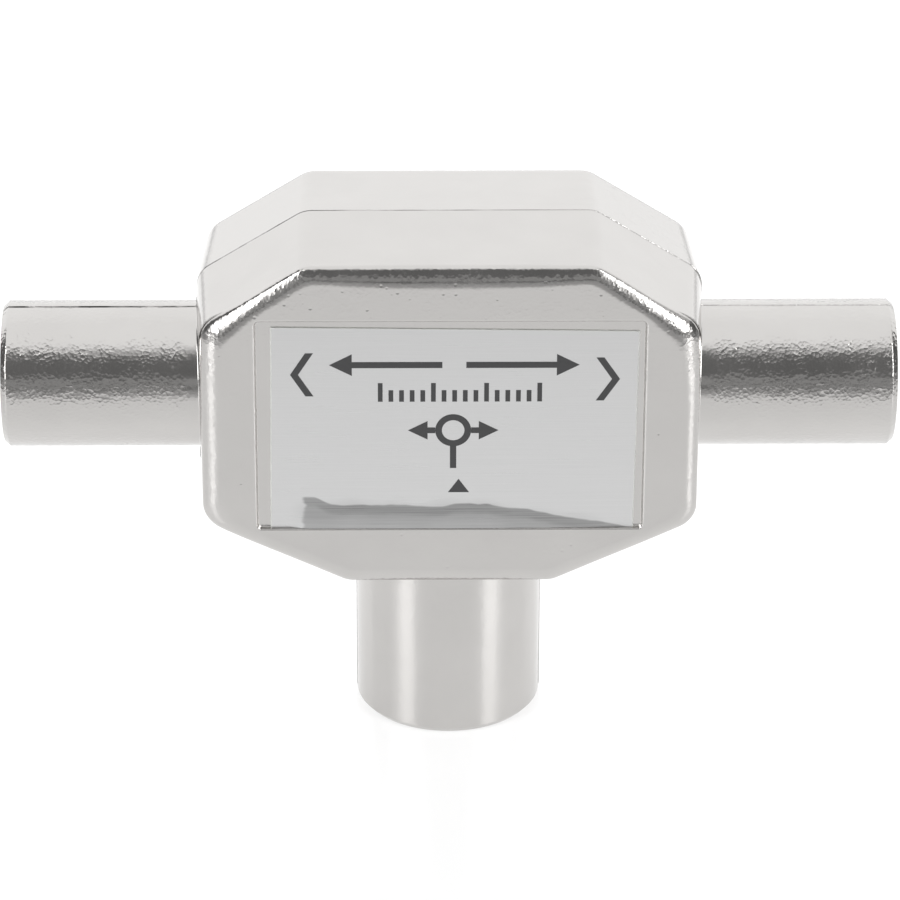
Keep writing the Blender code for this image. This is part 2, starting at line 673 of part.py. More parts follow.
def main():
    clear_scene()
    centre = bpy.data.objects.new("port_axes_crossing", None)
    centre.location = (0, 0, AXIS_HEIGHT)
    bpy.context.scene.collection.objects.link(centre)

    nickel = material("cast_nickel", NICKEL, 0.22, 1)
    contact_nickel = material("turned_nickel", NICKEL, 0.18, 1)
    plastic = material("moulded_insulator", WHITE_PLASTIC, 0.45, 0)
    make_housing(centre, nickel)
    make_cover(centre, nickel)
    make_label(centre, material("brushed_foil", FOIL, 0.3, 1))
    make_ports(centre, contact_nickel, plastic)
    make_board(centre, material("board_paper", BOARD_PAPER, 0.6, 0))
    wire = material("enamel_wire", ENAMEL_WIRE, 0.35, 1)
    make_transformers(centre, material("ferrite", FERRITE, 0.6, 0), wire)
    glass = material("chip_glass", BLACK_GLASS, 0.3, 0)
    make_chips(centre, material("chip_ceramic", CERAMIC, 0.5, 0), glass)
    make_solder(centre, material("solder", TIN, 0.3, 1))


main()
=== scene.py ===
"""Looks of the two-way coaxial splitter: fine surfaces, finishes, studio and camera.

Lengths are millimetres measured from the point where the three port axes cross: x to the right,
y away from the label, z up. Only make_object and the camera turn them into the frame's metres.
"""

import json
import math
from functools import partial

import bmesh
import bpy
import numpy as np
from mathutils import Matrix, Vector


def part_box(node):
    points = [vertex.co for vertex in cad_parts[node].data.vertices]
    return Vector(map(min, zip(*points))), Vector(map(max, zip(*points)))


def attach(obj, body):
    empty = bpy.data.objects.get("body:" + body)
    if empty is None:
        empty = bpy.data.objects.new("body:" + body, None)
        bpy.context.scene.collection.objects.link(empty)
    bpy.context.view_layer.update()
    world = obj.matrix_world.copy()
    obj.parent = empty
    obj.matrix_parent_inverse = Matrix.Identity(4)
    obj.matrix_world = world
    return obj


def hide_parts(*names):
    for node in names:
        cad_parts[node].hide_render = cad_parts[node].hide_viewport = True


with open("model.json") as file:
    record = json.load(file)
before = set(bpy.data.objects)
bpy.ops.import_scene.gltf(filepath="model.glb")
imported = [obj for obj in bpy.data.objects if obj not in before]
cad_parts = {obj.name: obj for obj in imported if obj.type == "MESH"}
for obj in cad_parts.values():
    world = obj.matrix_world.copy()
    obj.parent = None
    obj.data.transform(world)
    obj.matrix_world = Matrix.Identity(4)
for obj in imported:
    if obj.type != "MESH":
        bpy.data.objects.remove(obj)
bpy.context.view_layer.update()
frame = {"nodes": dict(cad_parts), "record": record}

MM = 0.001
HOUSING_LOW, HOUSING_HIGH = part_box("housing")
LABEL_LOW, LABEL_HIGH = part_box("label")
COVER_LOW, COVER_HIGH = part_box("rear_cover")
CONTACT_LOW, CONTACT_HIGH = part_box("in_contact")
PIN_LOW, PIN_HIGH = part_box("out_pin_right")
BOARD_LOW, BOARD_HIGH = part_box("circuit_board")

# Casting. Its overall sizes come from the frame.
HALF_DEPTH = (HOUSING_HIGH.y - HOUSING_LOW.y) / 2 / MM
OUTPUT_REACH = HOUSING_HIGH.x / MM
BODY_HEIGHT = 23.0
INPUT_REACH = HOUSING_HIGH.z / MM - BODY_HEIGHT / 2
BODY_WIDTH = 32.4
TOP_FLAT_WIDTH = 18.5
BOTTOM_FLAT_WIDTH = 13.3
UPPER_CORNER_RISE = 7.15
LOWER_CORNER_DROP = 7.0
CORNER_RADIUS = 1.8
# Front edge: a wide arc from the front face, then a tight one to the drafted side. Each row holds the wide
# arc's radius and turn and the tight one's radius; the top edge runs out wider.
SIDE_EDGE = (1.28, math.radians(50), 0.28)
TOP_EDGE = (2.0, math.radians(33), 0.445)
TOP_EDGE_START = 8.3
TOP_EDGE_FULL = 11.1
EDGE_STEPS = 36
FRONT_EDGE_REACH = 1.05
CORNER_WEAR = 0.5
CORNER_WEAR_REACH = 2.2
REAR_FILLET = 1.5
DRAFT = 0.47
TOP_DRAFT_SHARE = 0.64
WALL = 3.3
FRONT_WALL = 1.9
POCKET_CORNER_RADIUS = 1.0
COVER_LEDGE = 0.7
COVER_SEAT = COVER_LOW.y / MM - 0.05
POST_X = 6.65
POST_Z = 5.2
POST_RADIUS = 1.0
PIP_RADIUS = 0.45
PIP_SHORTFALL = 0.1

# Parting line: trimmed flash whose crest touches the drafted form
FLASH_HEIGHT = 0.05
FLASH_HALF_WIDTH = 0.035

# Recess for the label
RECESS_WIDTH = 24.5
RECESS_HEIGHT = 14.6
RECESS_RISE = 0.25
RECESS_DEPTH = 0.35
RECESS_CORNER = 0.3
RECESS_DRAFT = 0.06
EDGE_ROUND = 0.2
LOWER_EDGE_ROUND = 0.06
SMALL_ROUND = 0.05

# The label is cut a little short and askew, and its lower edge curls up below a line that falls to the right
LABEL_TRIM = 0.1
LABEL_LEAN = 0.17
LABEL_SKEW = 0.3
LABEL_THIN = 0.05
LABEL_GLUE = 0.015
FILM_MARGIN = 0.07
LABEL_FOOT_GAP = 0.01
FOOT_MARGIN = 0.03
EDGE_BAND = 0.6
CURL_LIFT = 0.17
CURL_HEIGHT = 1.6
CURL_ROLL = 2.1
CURL_LEFT = -10.2
CURL_FALL_START = 2.4
CURL_FALL_END = 11.9
CURL_ZONE = 2.6
PRINT_HEIGHT = 0.012

# Printed sign of a divider: a ring with two arms and a stem
DIVIDER_CENTRE = (0.19, -0.1)
DIVIDER_RING = 1.13

# Ports
PLUG_RADIUS = 4.76
PLUG_BORE = 3.95
PLUG_SHOULDER = OUTPUT_REACH - 11.6
PLUG_LEAD_IN = 0.15
SOCKET_RADIUS = 6.075
SOCKET_BORE = 4.8
SOCKET_SHOULDER = INPUT_REACH - 11.2
SOCKET_LEAD_IN = 0.3
RIM_CHAMFER = 0.35
WALL_HOLE = 3.0
ROOT_FILLET = 0.15
FLANGE_THICKNESS = 1.8
HUB_HEIGHT = 0.4
HUB_WIDTH = 0.75
FIT_GAP = 0.05
SHANK_RADIUS = 0.8
TAIL_RADIUS = 0.5
SHANK_STICKOUT = 0.4
PIN_TIP_LENGTH = 0.9
CONTACT_BORE = 1.2
CONTACT_BORE_DEPTH = 7.0
SLOT_DEPTH = 5.0
HALF_SLOT = 0.25
FINGER_PULL = 0.1
FINGER_EASE = 0.12
FINGER_EASE_REACH = 0.25

# Mesh fineness
ARC_STEPS = 12
FILLET_STEPS = 12
WINDOW_STEPS = 30
PLUG_WINDOW = 5.4
POCKET_WINDOW = 3.9
SOCKET_WINDOW = 6.6
ROUND_POINTS = 96
SHARP_ANGLE = math.radians(46)

# Camera, from the fit to the photograph
CAMERA_DISTANCE = 306.4934
CAMERA_ELEVATION = math.radians(27.0289)
CAMERA_AZIMUTH = math.radians(-0.7171)
CAMERA_ROLL = math.radians(0.1832)
CAMERA_AIM = (0.0961, 0.0, -5.667)
FOCAL_PIXELS = 4703.95
IMAGE_PIXELS = 900
SENSOR_WIDTH = 36.0


# Points, surfaces and objects

def corner_points(inset):
    """The body's eight corners, clockwise from the upper right, with every side moved in by inset.

    A side is the line a x + b z = c with (a, b) its outward normal; a corner is where two lines meet.
    """
    side, top = BODY_WIDTH / 2, BODY_HEIGHT / 2
    upper, lower = (TOP_FLAT_WIDTH / 2, top), (BOTTOM_FLAT_WIDTH / 2, -top)
    right = np.array([upper, (side, UPPER_CORNER_RISE), (side, -LOWER_CORNER_DROP), lower])
    corners = np.vstack([right, right[::-1] * (-1, 1)])
    run = np.roll(corners, -1, 0) - corners
    normal = np.column_stack([-run[:, 1], run[:, 0]]) / np.hypot(*run.T)[:, None]
    reach = (normal * corners).sum(1) - inset
    earlier, earlier_reach = np.roll(normal, 1, 0), np.roll(reach, 1)
    scale = earlier[:, 0] * normal[:, 1] - normal[:, 0] * earlier[:, 1]
    x = (earlier_reach * normal[:, 1] - reach * earlier[:, 1]) / scale
    z = (earlier[:, 0] * reach - normal[:, 0] * earlier_reach) / scale
    return np.column_stack([x, z])


def corner_arcs(inset, radius):
    """The arcs that round the eight corners, as (8, ARC_STEPS + 1, 2) points.

    An arc's centre lies on the corner's bisector, radius / sin(half angle) from the corner.
    """
    corner = corner_points(inset)
    before = np.roll(corner, 1, 0) - corner
    after = np.roll(corner, -1, 0) - corner
    before /= np.hypot(*before.T)[:, None]
    after /= np.hypot(*after.T)[:, None]
    half = np.arccos((before * after).sum(1)) / 2
    bisector = before + after
    bisector /= np.hypot(*bisector.T)[:, None]
    centre = corner + bisector * (radius / np.sin(half))[:, None]
    start = corner + before * (radius / np.tan(half))[:, None]
    first = np.arctan2(start[:, 1] - centre[:, 1], start[:, 0] - centre[:, 0])
    turn = first[:, None] - (math.pi - 2 * half)[:, None] * np.linspace(0, 1, ARC_STEPS + 1)
    return centre[:, None] + radius * np.stack([np.cos(turn), np.sin(turn)], -1)


def even_tangents(half_side):
    """Places from -half_side to half_side that lie at even angles seen from the middle of a square."""
    turn = np.linspace(-math.pi / 4, math.pi / 4, WINDOW_STEPS + 1)
    return half_side * np.tan(turn)


def flat_shares():
    """Where the points of each of the eight flats lie, as shares of its length."""
    plain = np.concatenate([[0.01], np.linspace(0.06, 0.94, 13), [0.985]])
    arcs = corner_arcs(0, CORNER_RADIUS)
    high, low = arcs[1][-1][1], arcs[2][0][1]
    right = (high - even_tangents(PLUG_WINDOW)[::-1]) / (high - low)
    right = np.concatenate([[0.01], right, [0.99]])
    bottom = np.concatenate([[0.01], np.linspace(0.05, 0.95, 19), [0.99]])
    return [plain, right, plain, bottom, plain, 1 - right[::-1], plain, plain]


def outline(inset, radius):
    """The rounded outline as (x, z) rows: each corner's arc, then the points of the flat after it."""
    arcs = corner_arcs(inset, radius)
    rows = []
    for number, shares in enumerate(FLAT_SHARES):
        start, end = arcs[number][-1], arcs[(number + 1) % 8][0]
        rows += [arcs[number], start + (end - start) * shares[:, None]]
    return np.vstack(rows)


def flat_start(number):
    """The outline row where the given flat's points begin."""
    return sum(ARC_STEPS + 1 + len(shares) for shares in FLAT_SHARES[:number]) + ARC_STEPS + 1


def crest(depth, across, up):
    """The flash's share of its full height: exp(-(depth / half width)^2), wandering along the line."""
    wander = 0.5 + 0.3 * np.sin(0.9 * across + 0.4 * up) * np.sin(2.3 * across - 1.1 * up + 1)
    wander += 0.35 * np.tanh((across - 2) / 3) * (up > 0)
    return np.clip(wander, 0.12, 1) * np.exp(-(depth / FLASH_HALF_WIDTH) ** 2)


def flash(depth, across, up):
    """How far the skin lies below the drafted form, whose outside only the flash's crest touches."""
    return FLASH_HEIGHT * (1 - crest(depth, across, up))


def side_surface(depth, up):
    """How far out the body's side lies, between its fillets."""
    return BODY_WIDTH / 2 - DRAFT * np.abs(depth) / HALF_DEPTH - flash(depth, BODY_WIDTH / 2, up)


def underside(across, inset, radius):
    """How far down an outline of that inset reaches: the flat, the corner's arc and the slope beyond."""
    corner = corner_points(0)[3]
    x, z = corner[:, None] + (corner_points(1)[3] - corner)[:, None] * inset
    lean = math.atan2(BODY_HEIGHT / 2 - LOWER_CORNER_DROP, (BODY_WIDTH - BOTTOM_FLAT_WIDTH) / 2)
    reach = radius * math.tan(lean / 2)
    beyond = np.abs(across) - (x - reach)
    arc = radius - np.sqrt(np.maximum(radius ** 2 - np.clip(beyond, 0, radius) ** 2, 0))
    slope = (np.abs(across) - x) * math.tan(lean)
    return -z - np.where(beyond > radius * math.sin(lean), slope, arc)


def bottom_surface(across, depth):
    """How far down the body's underside lies, between its fillets."""
    inset = DRAFT * np.abs(depth) / HALF_DEPTH + flash(depth, across, -BODY_HEIGHT / 2)
    return underside(across, inset, CORNER_RADIUS)


class Skin:
    """Collects the points and faces of one surface."""

    def __init__(self):
        self.blocks, self.faces, self.count = [], [], 0

    def add(self, points):
        """Keeps rows of points and returns their numbers."""
        points = np.asarray(points, float)
        self.blocks.append(points.reshape(-1, 3))
        first, self.count = self.count, self.count + points.size // 3
        return np.arange(first, self.count).reshape(points.shape[:-1])

    def strips(self, rings, keep=None):
        """Quads between each closed ring and the next, where keep allows."""
        rings = np.asarray(rings)
        ahead = np.roll(rings, -1, 1)
        quads = np.stack([rings[:-1], ahead[:-1], ahead[1:], rings[1:]], -1)
        self.faces += (quads[keep] if keep is not None else quads.reshape(-1, 4)).tolist()

    def sheet(self, grid):
        """Quads of an open grid of numbers."""
        quads = np.stack([grid[:-1, :-1], grid[:-1, 1:], grid[1:, 1:], grid[1:, :-1]], -1)
        self.faces += quads.reshape(-1, 4).tolist()

    def cap(self, ring, point):
        """A fan that closes a ring at a point."""
        tip = np.full(len(ring), self.add(np.array([point]))[0])
        self.faces += np.stack([ring, np.roll(ring, -1), tip], -1).tolist()


def make_object(name, skin, material, replaced=()):
    """Puts a collected surface into the scene in the frame's metres, smooth but for its sharp edges."""
    points = np.vstack(skin.blocks) * MM
    points[:, 2] += INPUT_REACH * MM
    mesh = bpy.data.meshes.new(name)
    mesh.from_pydata(points.tolist(), [], skin.faces)
    work = bmesh.new()
    work.from_mesh(mesh)
    bmesh.ops.recalc_face_normals(work, faces=work.faces)
    work.to_mesh(mesh)
    work.free()
    mesh.shade_smooth()
    mesh.set_sharp_from_angle(angle=SHARP_ANGLE)
    mesh.materials.append(material)
    piece = bpy.data.objects.new(name, mesh)
    bpy.context.scene.collection.objects.link(piece)
    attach(piece, "root")
    if replaced:
        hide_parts(*replaced)
    return piece


def rounded_profile(corners, radii, steps=4):
    """An open line of points with its inner corners replaced by arcs of the given radii.

    The arc at a corner is tangent to both legs at radius tan(half the turn) from it.
    """
    corners = [np.array(corner, float) for corner in corners]
    rows = [corners[0]]
    for before, corner, after, radius in zip(corners, corners[1:], corners[2:], radii):
        a = (before - corner) / np.hypot(*(before - corner))
        b = (after - corner) / np.hypot(*(after - corner))
        half = math.acos(np.clip(a @ b, -1, 1)) / 2
        centre = corner + (a + b) / np.hypot(*(a + b)) * radius / math.sin(half)
        start = corner + a * radius / math.tan(half) - centre
        end = corner + b * radius / math.tan(half) - centre
        first = math.atan2(start[1], start[0])
        sweep = (math.atan2(end[1], end[0]) - first + math.pi) % (2 * math.pi) - math.pi
        turn = first + sweep * np.linspace(0, 1, steps + 1)
        rows += list(centre + radius * np.column_stack([np.cos(turn), np.sin(turn)]))
    rows.append(corners[-1])
    return np.array(rows)


def point_right(p, q, out):
    """A port's own places: p and q across it, out along it; for the right plug."""
    return np.stack(np.broadcast_arrays(out, p, q), -1)


def point_left(p, q, out):
    """The same for the left plug."""
    return np.stack(np.broadcast_arrays(-out, p, q), -1)


def point_down(p, q, out):
    """The same for the socket."""
    return np.stack(np.broadcast_arrays(p, q, -out), -1)


def turned(skin, profile, place, count=ROUND_POINTS):
    """Turns (radius, out) rows round a port's axis; a first or last radius of 0 closes the surface."""
    angle = 2 * math.pi * np.arange(count) / count
    rings = [skin.add(place(r * np.cos(angle), r * np.sin(angle), out)) for r, out in profile if r > 0]
    skin.strips(rings)
    if profile[0][0] == 0:
        skin.cap(rings[0], place(0.0, 0.0, profile[0][1]))
    if profile[-1][0] == 0:
        skin.cap(rings[-1], place(0.0, 0.0, profile[-1][1]))
    if profile[0][0] > 0 and profile[-1][0] > 0:
        skin.strips([rings[-1], rings[0]])


def level(points, depth):
    """Points (x, z) at one depth, or each at its own."""
    return np.column_stack([points[:, 0], np.broadcast_to(depth, len(points)), points[:, 1]])


def close(skin, rings, points, depth, shares):
    """Adds rings that draw the points in to the middle by the given shares, and closes them with a fan."""
    rings = rings + [skin.add(level(points * (1 - share), depth)) for share in shares]
    skin.strips(rings)
    skin.cap(rings[-1], (0, depth, 0))


# The casting

def window_loop(grid, rows, columns):
    """The numbers round a rectangular window of a grid: along its first row, then round."""
    (top, bottom), (left, right) = rows, columns
    there, back = [grid[top, left:right], grid[top:bottom, right]], [grid[bottom, right:left:-1]]
    return np.concatenate(there + back + [grid[bottom:top:-1, left]])


def pocket_side(p, q):
    """How far out the pocket's side lies."""
    return np.full(len(p), BODY_WIDTH / 2 - WALL)


def pocket_bottom(p, q):
    """How far down the pocket's lower wall lies."""
    return underside(p, WALL, POCKET_CORNER_RADIUS)


def add_port(skin, place, loop, loop_pq, surface, radius, profile, inner_loop, inner_pq, inner_surface):
    """A barrel on the body, its bore, and the hole through to the pocket.

    From the window in the skin, rings narrow linearly to a circle; a fillet turns them out along the
    barrel, the profile of (radius, out) rows is turned, and rings widen to the window in the pocket.
    """
    angle = np.arctan2(loop_pq[:, 1], loop_pq[:, 0])
    circle = np.column_stack([np.cos(angle), np.sin(angle)])
    # The flash runs along the barrel where it crosses the parting plane, depth 0
    depth, side = radius * (circle[:, ::-1] if place is point_down else circle).T
    drop = flash(depth, side + 9, side)
    rim = circle * (radius - drop + ROOT_FILLET)[:, None]
    rings = [loop]
    for share in (0.03, 0.2, 0.45, 0.7, 0.9, 0.98, 1.0):
        p, q = (loop_pq * (1 - share) + rim * share).T
        rings.append(skin.add(place(p, q, surface(p, q))))
    seat = surface(*rim.T)
    for turn in np.linspace(0, math.pi / 2, 7)[1:]:
        across = circle * (radius - drop + ROOT_FILLET * (1 - math.sin(turn)))[:, None]
        rings.append(skin.add(place(*across.T, seat + ROOT_FILLET * (1 - math.cos(turn)))))
    for ring_radius, out in profile:
        fade = max(0.0, 1 - (radius - ring_radius) / RIM_CHAMFER)
        across = circle * (ring_radius - drop * fade)[:, None]
        rings.append(skin.add(place(*across.T, np.full(len(circle), out))))
    hole = circle * WALL_HOLE
    for share in (0.0, 0.1, 0.5, 0.9):
        p, q = (hole * (1 - share) + inner_pq * share).T
        rings.append(skin.add(place(p, q, inner_surface(p, q))))
    rings.append(inner_loop)
    skin.strips(rings)


def barrel_profile(radius, bore, reach, shoulder, lead_in):
    """Barrel wall, chamfered rim, lip, lead-in, bore, shoulder and the start of the wall's hole."""
    corners = [
        (radius, reach - 7.5), (radius, reach - RIM_CHAMFER), (radius - RIM_CHAMFER, reach),
        (bore + lead_in, reach), (bore, reach - lead_in), (bore, shoulder),
        (WALL_HOLE, shoulder), (WALL_HOLE, shoulder - 0.5),
    ]
    line = rounded_profile(corners, (0.12, 0.1, 0.04, 0.04, 0.15, 0.1))
    wall = np.linspace(reach - 10.6, reach - 7.6, 3)
    return np.vstack([np.column_stack([np.full(3, radius), wall]), line])


def recess_loop(grow):
    """The recess's outline, grown by grow, with one point for each station of the body's outline.

    The middle of each corner arc goes with the station of the front face's rim nearest to it.
    """
    half = np.array([RECESS_WIDTH / 2 - RECESS_CORNER, RECESS_HEIGHT / 2 - RECESS_CORNER])
    radius = RECESS_CORNER + grow
    quarters = ((1, 1), (1, -1), (-1, -1), (-1, 1))
    rim = outline(DRAFT + FRONT_EDGE_REACH, CORNER_RADIUS) - (0, RECESS_RISE)
    anchors = [int(np.argmin(np.hypot(*(rim - half * quarter).T))) for quarter in quarters]
    total = len(rim)
    points = np.zeros((total, 2))
    steps = 5
    eighth = math.pi / 4
    for number, quarter in enumerate(quarters):
        first = anchors[number]
        count = (anchors[(number + 1) % 4] - first) % total
        turn = eighth - math.pi / 2 * number
        leaving = turn - eighth * np.linspace(0, 1, steps + 1)
        arriving = turn - eighth - eighth * np.linspace(0, 1, steps + 1)
        a = half * quarter + radius * np.column_stack([np.cos(leaving), np.sin(leaving)])
        b = half * quarters[(number + 1) % 4] + radius * np.column_stack([np.cos(arriving), np.sin(arriving)])
        share = np.linspace(0, 1, count - 2 * steps + 1)[1:-1, None]
        run = np.vstack([a, a[-1] + (b[0] - a[-1]) * share, b[:-1]])
        points[(first + np.arange(count)) % total] = run
    return points + (0, RECESS_RISE)


def edge_size(points):
    """The front edge's size round the outline, as a share: larger at the upper side corners, where the
    tumbling wore it down, and smaller at the top ones. Each change is a bell, exp(-(distance / reach)^2).
    """
    def bell(x, z, reach):
        return np.exp(-((np.abs(points[:, 0]) - x) ** 2 + (points[:, 1] - z) ** 2) / reach ** 2)
    worn = bell(BODY_WIDTH / 2, UPPER_CORNER_RISE, 3.4)
    keen = bell(TOP_FLAT_WIDTH / 2, BODY_HEIGHT / 2, 2.6)
    left = np.exp(-(points[:, 0] + BODY_WIDTH / 2) ** 2) * (1 - worn)
    recess = bell(12.9, -8.4, 2.5) + bell(13.1, 9.0, 1.6)
    return 1 + 0.3 * worn - 0.14 * keen + 0.08 * bell(0, BODY_HEIGHT / 2, 5.5) + 0.42 * left - 0.1 * recess


def edge_line(wide, turn, tight):
    """How far back and how far out an edge of two arcs has gone where its normal has turned by t.

    An arc of radius r between the turns a and b goes r (cos a - cos b) back and r (sin b - sin a) out.
    """
    angle = np.linspace(0, math.pi / 2, EDGE_STEPS + 1)[:, None]
    first, second = np.minimum(angle, turn), np.maximum(angle, turn)
    back = wide * (1 - np.cos(first)) + tight * (math.cos(turn) - np.cos(second))
    out = wide * np.sin(first) + tight * (np.sin(second) - math.sin(turn))
    return back, out


def top_share(points):
    """How far each outline point belongs to the top, with its own front edge and smaller draft in front."""
    share = np.clip((points[:, 1] - TOP_EDGE_START) / (TOP_EDGE_FULL - TOP_EDGE_START), 0, 1)
    return share * share * (3 - 2 * share)


def front_edge(points):
    """The depth and inset of each row of the front edge, from the front face to the side, at each point.

    The top's edge blends into the sides' one down the upper corners; both have the same normals in a row.
    """
    share = top_share(points)
    size = edge_size(points)
    away = (np.abs(points[:, 0]) - BODY_WIDTH / 2) ** 2 + (points[:, 1] - UPPER_CORNER_RISE) ** 2
    wide, turn, tight = SIDE_EDGE
    side_back, side_out = edge_line(wide, turn, tight + CORNER_WEAR * np.exp(-away / CORNER_WEAR_REACH ** 2))
    top_back, top_out = edge_line(*TOP_EDGE)
    back = (side_back + (top_back - side_back) * share) * size
    out = (side_out + (top_out - side_out) * share) * size
    return back - HALF_DEPTH, out[-1] - out


def wall_rows():
    """The depths of the skin's rows between its edges: the plugs' and socket's windows and the flash."""
    near = FLASH_HALF_WIDTH * np.array([0, 0.35, 0.7, 1.1, 1.6, 2.4, 4])
    window = even_tangents(PLUG_WINDOW)
    outer = [-7.45, -7.1, -SOCKET_WINDOW, -6, 6, SOCKET_WINDOW, 6.85]
    return np.unique(np.round(np.concatenate([window, near, -near, outer]), 9))


def add_posts(skin):
    """Four stepped posts that carry the board, each a closed turned form let into the pocket's floor."""
    foot = -HALF_DEPTH + FRONT_WALL - 0.2
    top, tip = BOARD_LOW.y / MM - FIT_GAP, BOARD_HIGH.y / MM - PIP_SHORTFALL
    post, pip = POST_RADIUS, PIP_RADIUS
    corners = [(0, foot), (post, foot), (post, top), (pip, top), (pip, tip), (0, tip)]
    line = rounded_profile(corners, (0.05, 0.08, 0.05, 0.08))
    for x in (-POST_X, POST_X):
        for z in (-POST_Z, POST_Z):
            def place(p, q, out):
                return np.stack(np.broadcast_arrays(p + x, out, q + z), -1)
            turned(skin, line, place, count=32)


def make_housing(material):
    """The casting as one closed surface: skin, barrels, bores, pocket, cover seat and label recess.

    A row of the skin is the body's outline moved in by an inset, which moves each of its points along a
    straight line. On the rear edge, of radius r, where the normal has turned back by t, the depth is
    half depth - r (1 - sin t) and the inset r (1 - cos t).
    """
    skin = Skin()
    sharp = outline(0, CORNER_RADIUS)
    inwards = outline(1, CORNER_RADIUS) - sharp
    rows = list(zip(*front_edge(sharp)))
    front_draft = DRAFT * (1 - (1 - TOP_DRAFT_SHARE) * top_share(sharp))
    front_inset = front_draft + FLASH_HEIGHT + rows[0][1]
    first = len(rows)
    walls = wall_rows()
    none = np.zeros(len(sharp))
    rows += [(depth, none) for depth in walls]
    for turn in np.linspace(0, math.pi / 2, FILLET_STEPS + 1):
        depth = HALF_DEPTH - REAR_FILLET * (1 - math.sin(turn))
        rows.append((depth, REAR_FILLET * (1 - math.cos(turn)) + none))
    grid = []
    for depth, inset in rows:
        inset = inset + np.where(depth < 0, front_draft, DRAFT) * np.abs(depth) / HALF_DEPTH
        formed = sharp + inwards * inset[:, None]
        inset = inset + flash(depth, *formed.T)
        grid.append(skin.add(level(sharp + inwards * inset[:, None], depth)))
    grid = np.array(grid)
    rear_inset = DRAFT + FLASH_HEIGHT + REAR_FILLET

    # Windows: flats 1 and 5 for the plugs, and from the end of flat 2 to the start of flat 4 below
    plug_rows = [first + int(np.argmin(np.abs(walls - d))) for d in (-PLUG_WINDOW, PLUG_WINDOW)]
    socket_rows = [first + int(np.argmin(np.abs(walls - d))) for d in (-SOCKET_WINDOW, SOCKET_WINDOW)]
    right = (flat_start(1) + 1, flat_start(1) + 1 + WINDOW_STEPS)
    left = (flat_start(5) + 1, flat_start(5) + 1 + WINDOW_STEPS)
    below = (flat_start(2) + len(FLAT_SHARES[2]) - 1, flat_start(4))
    keep = np.ones((len(grid) - 1, grid.shape[1]), bool)
    windows = ((plug_rows, right), (plug_rows, left), (socket_rows, below))
    for (top, bottom), (start, end) in windows:
        keep[top:bottom, start:end] = False
    skin.strips(grid, keep)

    # Front face, rounded edge, wall and floor of the recess, whose lower edge is sharper than the others
    front = sharp + inwards * front_inset[:, None]
    recess = recess_loop(0)
    outwards = recess_loop(1) - recess
    floor = -HALF_DEPTH + RECESS_DEPTH
    lines = []
    for edge_round in (EDGE_ROUND, LOWER_EDGE_ROUND):
        corners = [
            (edge_round, -HALF_DEPTH), (0, -HALF_DEPTH), (-RECESS_DRAFT, floor), (-RECESS_DRAFT - 0.1, floor),
        ]
        lines.append(rounded_profile(corners, (edge_round, SMALL_ROUND)))
    keen = np.clip((RECESS_RISE - recess[:, 1]) / (RECESS_HEIGHT / 2) * 8 - 7, 0, 1)
    walls_in = []
    for usual, lower in zip(*lines):
        grow, depth = (usual + (lower - usual) * keen[:, None]).T
        walls_in.append((recess + outwards * grow[:, None], depth))
    edge = walls_in[0][0]
    rings = [grid[0]]
    for share in (0.01, 0.3, 0.7, 0.99):
        rings.append(skin.add(level(front * (1 - share) + edge * share, -HALF_DEPTH)))
    rings += [skin.add(level(points, depth)) for points, depth in walls_in]
    close(skin, rings, walls_in[-1][0], floor, (0.01, 0.35, 0.7))

    # Rear rim, cover seat and pocket
    seat = WALL - COVER_LEDGE
    rim = HALF_DEPTH
    line = rounded_profile(
        [(rear_inset, rim), (seat, rim), (seat, COVER_SEAT), (WALL, COVER_SEAT), (WALL, 5.0)],
        (SMALL_ROUND * 2, SMALL_ROUND, SMALL_ROUND),
    )
    rings = [grid[-1]]
    for inset, depth in line[1:-1]:
        share = min(1.0, (inset - rear_inset) / (seat - rear_inset))
        radius = CORNER_RADIUS * (1 - share) + POCKET_CORNER_RADIUS * share
        rings.append(skin.add(level(outline(inset, radius), depth)))
    # The pocket's rows repeat the windows' rows, nearer the middle, so that the holes' rings fit both
    wall = outline(WALL, POCKET_CORNER_RADIUS)
    depths = walls[socket_rows[0] - first:socket_rows[1] + 1 - first] * (POCKET_WINDOW / PLUG_WINDOW)
    inner = np.array([skin.add(level(wall, depth)) for depth in depths])
    shift = socket_rows[0]
    keep = np.ones((len(inner) - 1, inner.shape[1]), bool)
    for (top, bottom), (start, end) in windows:
        keep[top - shift:bottom - shift, start:end] = False
    skin.strips(inner, keep)
    skin.strips(rings + [inner[-1]])
    pocket_floor = -HALF_DEPTH + FRONT_WALL
    rings = [inner[0], skin.add(level(wall, pocket_floor + 0.02))]
    close(skin, rings, wall, pocket_floor, (0.01, 0.4, 0.8))

    # Ports
    points = np.vstack(skin.blocks)
    plug = barrel_profile(PLUG_RADIUS, PLUG_BORE, OUTPUT_REACH, PLUG_SHOULDER, PLUG_LEAD_IN)
    socket = barrel_profile(SOCKET_RADIUS, SOCKET_BORE, INPUT_REACH, SOCKET_SHOULDER, SOCKET_LEAD_IN)
    jobs = (
        (point_right, plug_rows, right, (1, 2), side_surface, PLUG_RADIUS, plug, pocket_side),
        (point_left, plug_rows, left, (1, 2), side_surface, PLUG_RADIUS, plug, pocket_side),
        (point_down, socket_rows, below, (0, 1), bottom_surface, SOCKET_RADIUS, socket, pocket_bottom),
    )
    for place, (top, bottom), columns, across, surface, radius, profile, inner_surface in jobs:
        loop = window_loop(grid, (top, bottom), columns)
        inner_loop = window_loop(inner, (top - shift, bottom - shift), columns)
        add_port(
            skin, place, loop, points[loop][:, across], surface, radius, profile,
            inner_loop, points[inner_loop][:, across], inner_surface,
        )
    add_posts(skin)
    return make_object("casting", skin, material, ["housing"])


# Pieces in and on the casting

